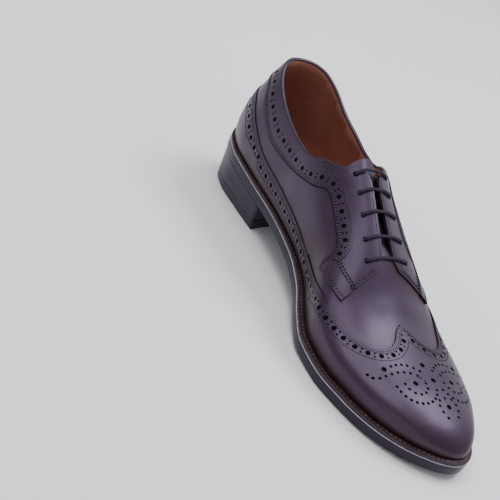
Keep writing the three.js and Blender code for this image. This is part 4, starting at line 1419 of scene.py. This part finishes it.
# %% Sock inside the shoe
SOCK_EDGE = -WALL - 0.3 * MM
SOCK_RISE = UPPER_FOOT + GAP
sock_sheet = Sheet()
profile = [(SOCK_EDGE - 5 * MM, SOCK_RISE + 1.75 * MM), (SOCK_EDGE - 1.0 * MM, SOCK_RISE + 1.9 * MM),
           (SOCK_EDGE - 0.2 * MM, SOCK_RISE + 1.6 * MM), (SOCK_EDGE, SOCK_RISE + 1.1 * MM),
           (SOCK_EDGE, SOCK_RISE), (-WALL - 2.8 * MM, SOCK_RISE), (-WALL - 2.8 * MM, OUTSOLE + GAP * 0.5)]
rows = sweep(sock_sheet, profile)
cap(sock_sheet, rows[0], True)
cap(sock_sheet, rows[-1], False)
sock = sock_sheet.build("sock", lining_leather)
print("sock:", len(sock.data.polygons), "faces")

# %% [markdown]
# The heel is a stack of leather lifts, ground to a slight taper and stained with the sole's edge. Its front,
# the breast, is ground hollow. One ring of places is repeated at several heights, each a little further in.

# %% Heel
HEEL_COLUMNS = 40
BREAST_COLUMNS = 24
INSET_TOP, INSET_FLOOR, HOLLOW = 0.8 * MM, 3.4 * MM, 5 * MM
HEEL_JOINT = 0.05 * MM
# The top piece, the lift that touches the floor: how far in and how high, in mm.
TOP_PIECE = ((2.72, 6.5), (2.76, 6.15), (3.0, 6.0), (2.8, 5.85), (2.84, 5.5), (3.3, 0.9), (3.45, 0.4),
             (3.9, 0.06), (4.6, 0.0))


def heel_ring(inset, lifted):
    """The heel's plan pulled in by inset. lifted gives each place's height from its share of the length."""
    shares = BREAST_AT * (np.arange(HEEL_COLUMNS + 1) / HEEL_COLUMNS) ** 2
    turns = turn_of(shares)
    half = STATIONS + 1
    sides = []
    for order in (np.arange(half), (len(loop_plan) - np.arange(half)) % len(loop_plan)):
        plan = np.stack([np.interp(turns, loop_turns[:half], loop_plan[order, k]) for k in (0, 1)], -1)
        out = np.stack([np.interp(turns, loop_turns[:half], loop_out[order, k]) for k in (0, 1)], -1)
        out = unit(out)
        push = BALL_WIDTH * welt_share(shares) - inset
        sides.append(plan + out * push[:, None])
    lateral, medial = sides
    t = np.linspace(0, 1, BREAST_COLUMNS + 1)[1:-1, None]
    breast = lateral[-1] * (1 - t) + medial[-1] * t
    breast[:, 0] -= (HOLLOW * 4 * t * (1 - t))[:, 0]
    plan = np.vstack([lateral, breast, medial[::-1][:-1]])
    share = np.concatenate([shares, np.full(len(breast), BREAST_AT), shares[::-1][:-1]])
    return np.column_stack([plan, lifted(share)])


def heel_height(part):
    return lambda share: (HEEL_RISE * underside_rise(share) - HEEL_JOINT) * part


block = Sheet()
rings = [heel_ring(INSET_TOP, heel_height(1.0)), heel_ring(INSET_TOP + 0.05 * MM, heel_height(0.97))]
for part in (0.75, 0.5, 0.3):
    rings.append(heel_ring(INSET_TOP + (INSET_FLOOR - INSET_TOP) * (1 - part), heel_height(part)))
for inset, height in TOP_PIECE:
    rings.append(heel_ring(inset * MM, lambda share, h=height: np.full(len(share), h * MM)))
rows = [block.add(r) for r in rings]
block.strip(rows, True)
block.close(rows)
heel = block.build("heel_stack", heel_stack)
print("heel:", len(rings), "rings")

# %% [markdown]
# Stitches are what the eye counts on a brogue. Each row is a line on the shoe; a Geometry Nodes tree lays it
# out: it turns the line into a curve, splits it in even steps, and sets one small thread on each step, along
# the line and on the leather. Doing this by nodes keeps the pitch and the thread as plain named inputs.

# %% A tree that sews
SEAM_RISE = 0.05 * MM


def sewing_tree():
    tree = bpy.data.node_groups.new("sew_along", "GeometryNodeTree")
    face = tree.interface
    face.new_socket("Geometry", in_out="INPUT", socket_type="NodeSocketGeometry")
    for name in ("Pitch", "Stitch Length", "Thread Radius", "Prick Radius"):
        face.new_socket(name, in_out="INPUT", socket_type="NodeSocketFloat")
    for name in ("Thread", "Prick"):
        face.new_socket(name, in_out="INPUT", socket_type="NodeSocketMaterial")
    face.new_socket("Seed", in_out="INPUT", socket_type="NodeSocketInt")
    face.new_socket("Geometry", in_out="OUTPUT", socket_type="NodeSocketGeometry")
    nodes, links = tree.nodes, tree.links

    def node(kind, settings=None, inputs=None):
        made = nodes.new(kind)
        for key, value in (settings or {}).items():
            setattr(made, key, value)
        for key, value in (inputs or {}).items():
            if isinstance(value, bpy.types.NodeSocket):
                links.new(value, made.inputs[key])
            else:
                made.inputs[key].default_value = value
        return made

    source = node("NodeGroupInput")
    curve = node("GeometryNodeMeshToCurve", None, {"Mesh": source.outputs["Geometry"]})
    steps = node("GeometryNodeResampleCurve", {"mode": "LENGTH"},
                 {"Curve": curve.outputs["Curve"], "Length": source.outputs["Pitch"]})
    bead = node("GeometryNodeMeshUVSphere", None, {"Segments": 6, "Rings": 5, "Radius": 1.0})
    half = node("ShaderNodeMath", {"operation": "MULTIPLY"}, {0: source.outputs["Stitch Length"], 1: 0.5})
    size = node("ShaderNodeCombineXYZ", None, {0: half.outputs[0], 1: source.outputs["Thread Radius"],
                                               2: source.outputs["Thread Radius"]})
    shaped = node("GeometryNodeTransform", None, {"Geometry": bead.outputs["Mesh"], "Scale": size.outputs[0]})
    dyed_thread = node("GeometryNodeSetMaterial", None, {"Geometry": shaped.outputs["Geometry"],
                                                         "Material": source.outputs["Thread"]})
    ahead = node("ShaderNodeMath", {"operation": "MULTIPLY"}, {0: source.outputs["Pitch"], 1: 0.5})
    # Each prick is a black bead sunk beside its thread: painted shade for the needle hole.
    sunk = node("ShaderNodeMath", {"operation": "MULTIPLY"}, {0: source.outputs["Prick Radius"], 1: -0.62})
    spot = node("ShaderNodeCombineXYZ", None, {0: ahead.outputs[0], 2: sunk.outputs[0]})
    prick = node("GeometryNodeTransform", None, {"Geometry": bead.outputs["Mesh"],
                                                 "Translation": spot.outputs[0],
                                                 "Scale": source.outputs["Prick Radius"]})
    dark_prick = node("GeometryNodeSetMaterial", None, {"Geometry": prick.outputs["Geometry"],
                                                        "Material": source.outputs["Prick"]})
    unit = node("GeometryNodeJoinGeometry")
    links.new(dark_prick.outputs["Geometry"], unit.inputs[0])
    links.new(dyed_thread.outputs["Geometry"], unit.inputs[0])
    tangent = node("GeometryNodeInputTangent")
    normal = node("GeometryNodeInputNamedAttribute", {"data_type": "FLOAT_VECTOR"}, {"Name": "out"})
    along = node("FunctionNodeAlignRotationToVector", {"axis": "X"}, {"Vector": tangent.outputs[0]})
    upright = node("FunctionNodeAlignRotationToVector", {"axis": "Z", "pivot_axis": "X"},
                   {"Rotation": along.outputs[0], "Vector": normal.outputs[0]})
    spread = node("FunctionNodeRandomValue", {"data_type": "FLOAT"},
                  {2: 0.9, 3: 1.08, "Seed": source.outputs["Seed"]})
    placed = node("GeometryNodeInstanceOnPoints", None,
                  {"Points": steps.outputs["Curve"], "Instance": unit.outputs["Geometry"],
                   "Rotation": upright.outputs[0], "Scale": spread.outputs[1]})
    real = node("GeometryNodeRealizeInstances", None, {"Geometry": placed.outputs["Instances"]})
    node("NodeGroupOutput", None, {"Geometry": real.outputs["Geometry"]})
    return tree


SEWING = sewing_tree()


def sew(name, rows_3d, pitch, length, radius, prick, thread, seed):
    """Sews along rows, each (points, normals), and returns one plain mesh."""
    points, normals, edges = [], [], []
    for line, out in rows_3d:
        start = len(points)
        points += [tuple(p) for p in line]
        normals += [tuple(n) for n in out]
        edges += [(start + i, start + i + 1) for i in range(len(line) - 1)]
    mesh = bpy.data.meshes.new(name + "_rows")
    mesh.from_pydata(points, edges, [])
    mesh.attributes.new("out", "FLOAT_VECTOR", "POINT").data.foreach_set(
        "vector", np.array(normals, np.float32).ravel())
    guide = bpy.data.objects.new(name + "_rows", mesh)
    bpy.context.scene.collection.objects.link(guide)
    modifier = guide.modifiers.new("sew", "NODES")
    modifier.node_group = SEWING
    values = {"Pitch": pitch, "Stitch Length": length, "Thread Radius": radius, "Prick Radius": prick,
              "Thread": thread, "Prick": painted_pit_shade, "Seed": seed}
    for item in SEWING.interface.items_tree:
        if item.item_type == "SOCKET" and item.in_out == "INPUT" and item.name in values:
            modifier[item.identifier] = values[item.name]
    evaluated = guide.evaluated_get(bpy.context.evaluated_depsgraph_get())
    plain = bpy.data.meshes.new_from_object(evaluated)
    plain.name = name
    piece = bpy.data.objects.new(name, plain)
    bpy.context.scene.collection.objects.link(piece)
    bpy.data.objects.remove(guide)
    plain.shade_smooth()
    return piece
print("sewing tree:", len(SEWING.nodes), "nodes")
# %% Rows of stitches on the panels
STITCH_PITCH = 2.05 * MM
STITCH = 1.35 * MM
THREAD = 0.25 * MM
PRICK = 0.46 * MM


def on_panel(line, lift, rise=0.0):
    """The line's places on a panel's surface, with their normals."""
    return shoe(*line.T, lift(*line.T) + rise), outward(*line.T)


def both_sides(lines, lift):
    return [on_panel(spaced(side, 1.0 * MM), lift, SEAM_RISE)
            for line in lines for side in (line, mirrored(line))]


def trimmed(line, start, end):
    """The line without the given lengths at its two ends."""
    step = 0.5 * MM
    fine = spaced(line, step)
    return fine[int(round(start / step)):len(fine) - int(round(end / step))]


wing_rows = [moved(wing_smooth, leftward(wing_smooth) * (-d * MM - more * wing_strip(wing_smooth)))
             for d, more in ((1.25, 0.15), (2.35, 0.4), (7.6, 1.5))]
wing_rows = [line[line[:, 1] < 0.992] for line in wing_rows]
band_rows = [beside(spline(BAND_REAR), d * MM) for d in (1.2, 2.2)]
band_rows += [beside(spline(BAND_FRONT), -d * MM) for d in (0.9, 1.9)]
band_rows += [trimmed(beside(straight(BOX_LINE), d * MM), 1.0 * MM, 2.5 * MM) for d in (1.2, 2.9)]
band_rows += [trimmed(beside(straight(TAB_REAR)[::-1], d * MM), (d + 0.6) * MM, 1.5 * MM) for d in (1.3, 2.4)]
facing_rows = [trimmed(beside(straight(TAB_FRONT), -d * MM), (d + 0.4) * MM, (d + 4.5) * MM)
               for d in (1.3, 2.4)]
facing_rows.append(beside(slot_edge, -1.6 * MM))
sewn_panels = [
    sew(name, both_sides(rows, lift), STITCH_PITCH, STITCH, THREAD, PRICK, dark_thread, seed)
    for name, rows, lift, seed in (("stitches_wing", wing_rows, wing_lift, 1),
                                   ("stitches_band", band_rows, band_lift, 2),
                                   ("stitches_facing", facing_rows, quarter_lift, 3))]
print("rows a side:", len(wing_rows), len(band_rows), len(facing_rows))

# %% [markdown]
# Between two teeth of a gimped edge the knife leaves a small notch in shade, which the eye reads before the
# tooth.
# The sewing tree sets these too: one black bead of painted shade for each tooth, with a thread too small to see.

# %% Painted shade in the notches between the teeth
NOTCH_IN = 0.18 * MM
NOTCH = 0.47 * MM
notches = []
for name, line, lift in (("notches_wing", wing_smooth[::-1], wing_lift),
                         ("notches_band", spline(BAND_REAR)[::-1], band_lift)):
    teeth = count_on(line, GIMP_PITCH)
    inner_line = beside(spaced(line, count=3 * teeth), NOTCH_IN)
    rows = [on_panel(side, lift) for side in (inner_line, mirrored(inner_line))]
    pitch = lengths(line)[-1] / teeth
    notches.append(sew(name, rows, pitch, 0.1 * MM, 0.02 * MM, NOTCH, painted_pit_shade, 5))
    print(name, teeth, "teeth a side")

# %% Stitches round the welt
ring_points = loop_at(groove, WELT_TOP - 0.22 * MM)
ring_points = np.vstack([ring_points, ring_points[:1]])
ring_up = np.tile((0.0, 0.0, 1.0), (len(ring_points), 1))
sewn_welt = sew("stitches_welt", [(ring_points, ring_up)], 2.9 * MM, 2.1 * MM, 0.36 * MM, 0.3 * MM,
                welt_thread, 4)
print("stitches:", sum(len(o.data.polygons) for o in (*sewn_panels, sewn_welt)), "faces")

# %% [markdown]
# Product shots of shoes use a pale sweep and very large soft lamps, because polished leather shows its lamps
# as long highlights. One lamp above and behind draws the lilac sheen on the toe and the instep; weaker ones
# from the front and from behind open the shadows. The floor is one wide sheet of pale plaster.

# %% Floor and soft light
FLOOR_REACH = 4.0


def floor_finish():
    paint = Paint("floor_pale")
    tone = paint.mix(paint.noise(3.0).ease(0.3, 0.7), (0.93, 0.93, 0.935), (0.95, 0.95, 0.955))
    return paint.surface(Base_Color=tone, Roughness=0.8)


floor_mesh = bpy.data.meshes.new("floor")
floor_mesh.from_pydata([(x * FLOOR_REACH, y * FLOOR_REACH, 0) for x, y in ((-1, -1), (1, -1), (1, 1), (-1, 1))],
                       [], [(0, 1, 2, 3)])
floor = bpy.data.objects.new("floor", floor_mesh)
bpy.context.scene.collection.objects.link(floor)
floor_mesh.materials.append(floor_finish())


def soft_lamp(name, place, aim, width, height, power, colour=(1.0, 1.0, 1.0)):
    data = bpy.data.lights.new(name, "AREA")
    data.shape = "RECTANGLE"
    data.size, data.size_y = width, height
    data.energy = power
    data.color = colour
    lamp = bpy.data.objects.new(name, data)
    bpy.context.scene.collection.objects.link(lamp)
    lamp.location = place
    lamp.visible_camera = False
    lamp.rotation_euler = (Vector(aim) - Vector(place)).to_track_quat("-Z", "Y").to_euler()


soft_lamp("lamp_back", (0.03, 0.74, 1.30), (0.1, 0, 0.03), 0.75, 0.55, 13, (0.95, 0.94, 1.0))
soft_lamp("lamp_above", (-0.2, -0.3, 1.7), (0.1, 0, 0), 1.3, 1.1, 17)
soft_lamp("lamp_front", (0.9, -1.2, 0.5), (0.1, 0, 0.03), 1.0, 0.6, 2.5, (1.0, 0.97, 0.98))
soft_lamp("lamp_behind", (-0.1, 1.4, 0.5), (0.05, 0, 0.05), 0.7, 0.5, 0.8, (0.97, 0.95, 1.0))

world = bpy.data.worlds.new("studio")
bpy.context.scene.world = world
world.use_nodes = True
sky = world.node_tree.nodes["Background"]
sky.inputs["Color"].default_value = (0.93, 0.94, 1.0, 1)
sky.inputs["Strength"].default_value = 0.58
print("stage and", len(bpy.data.lights), "lamps")

# %% Attach the pieces and hide the solids they replace
for piece in (vamp, quarter, band, wing, backstay, roll):
    settle(piece, "leather")
settle(lining, "lining", "upper")
settle(tongue, "leather", "tongue")
settle(sock, "lining", "insole")
settle(welt, "welt", "welt")
settle(outsole, "sole", "outsole")
settle(sole_highlight_line, "sole")
settle(heel, "sole", "heel")
settle(lace, "cord", *[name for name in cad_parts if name.startswith("lace_bar_")])
for piece in (*sewn_panels, *notches):
    settle(piece, "leather")
settle(sewn_welt, "welt")
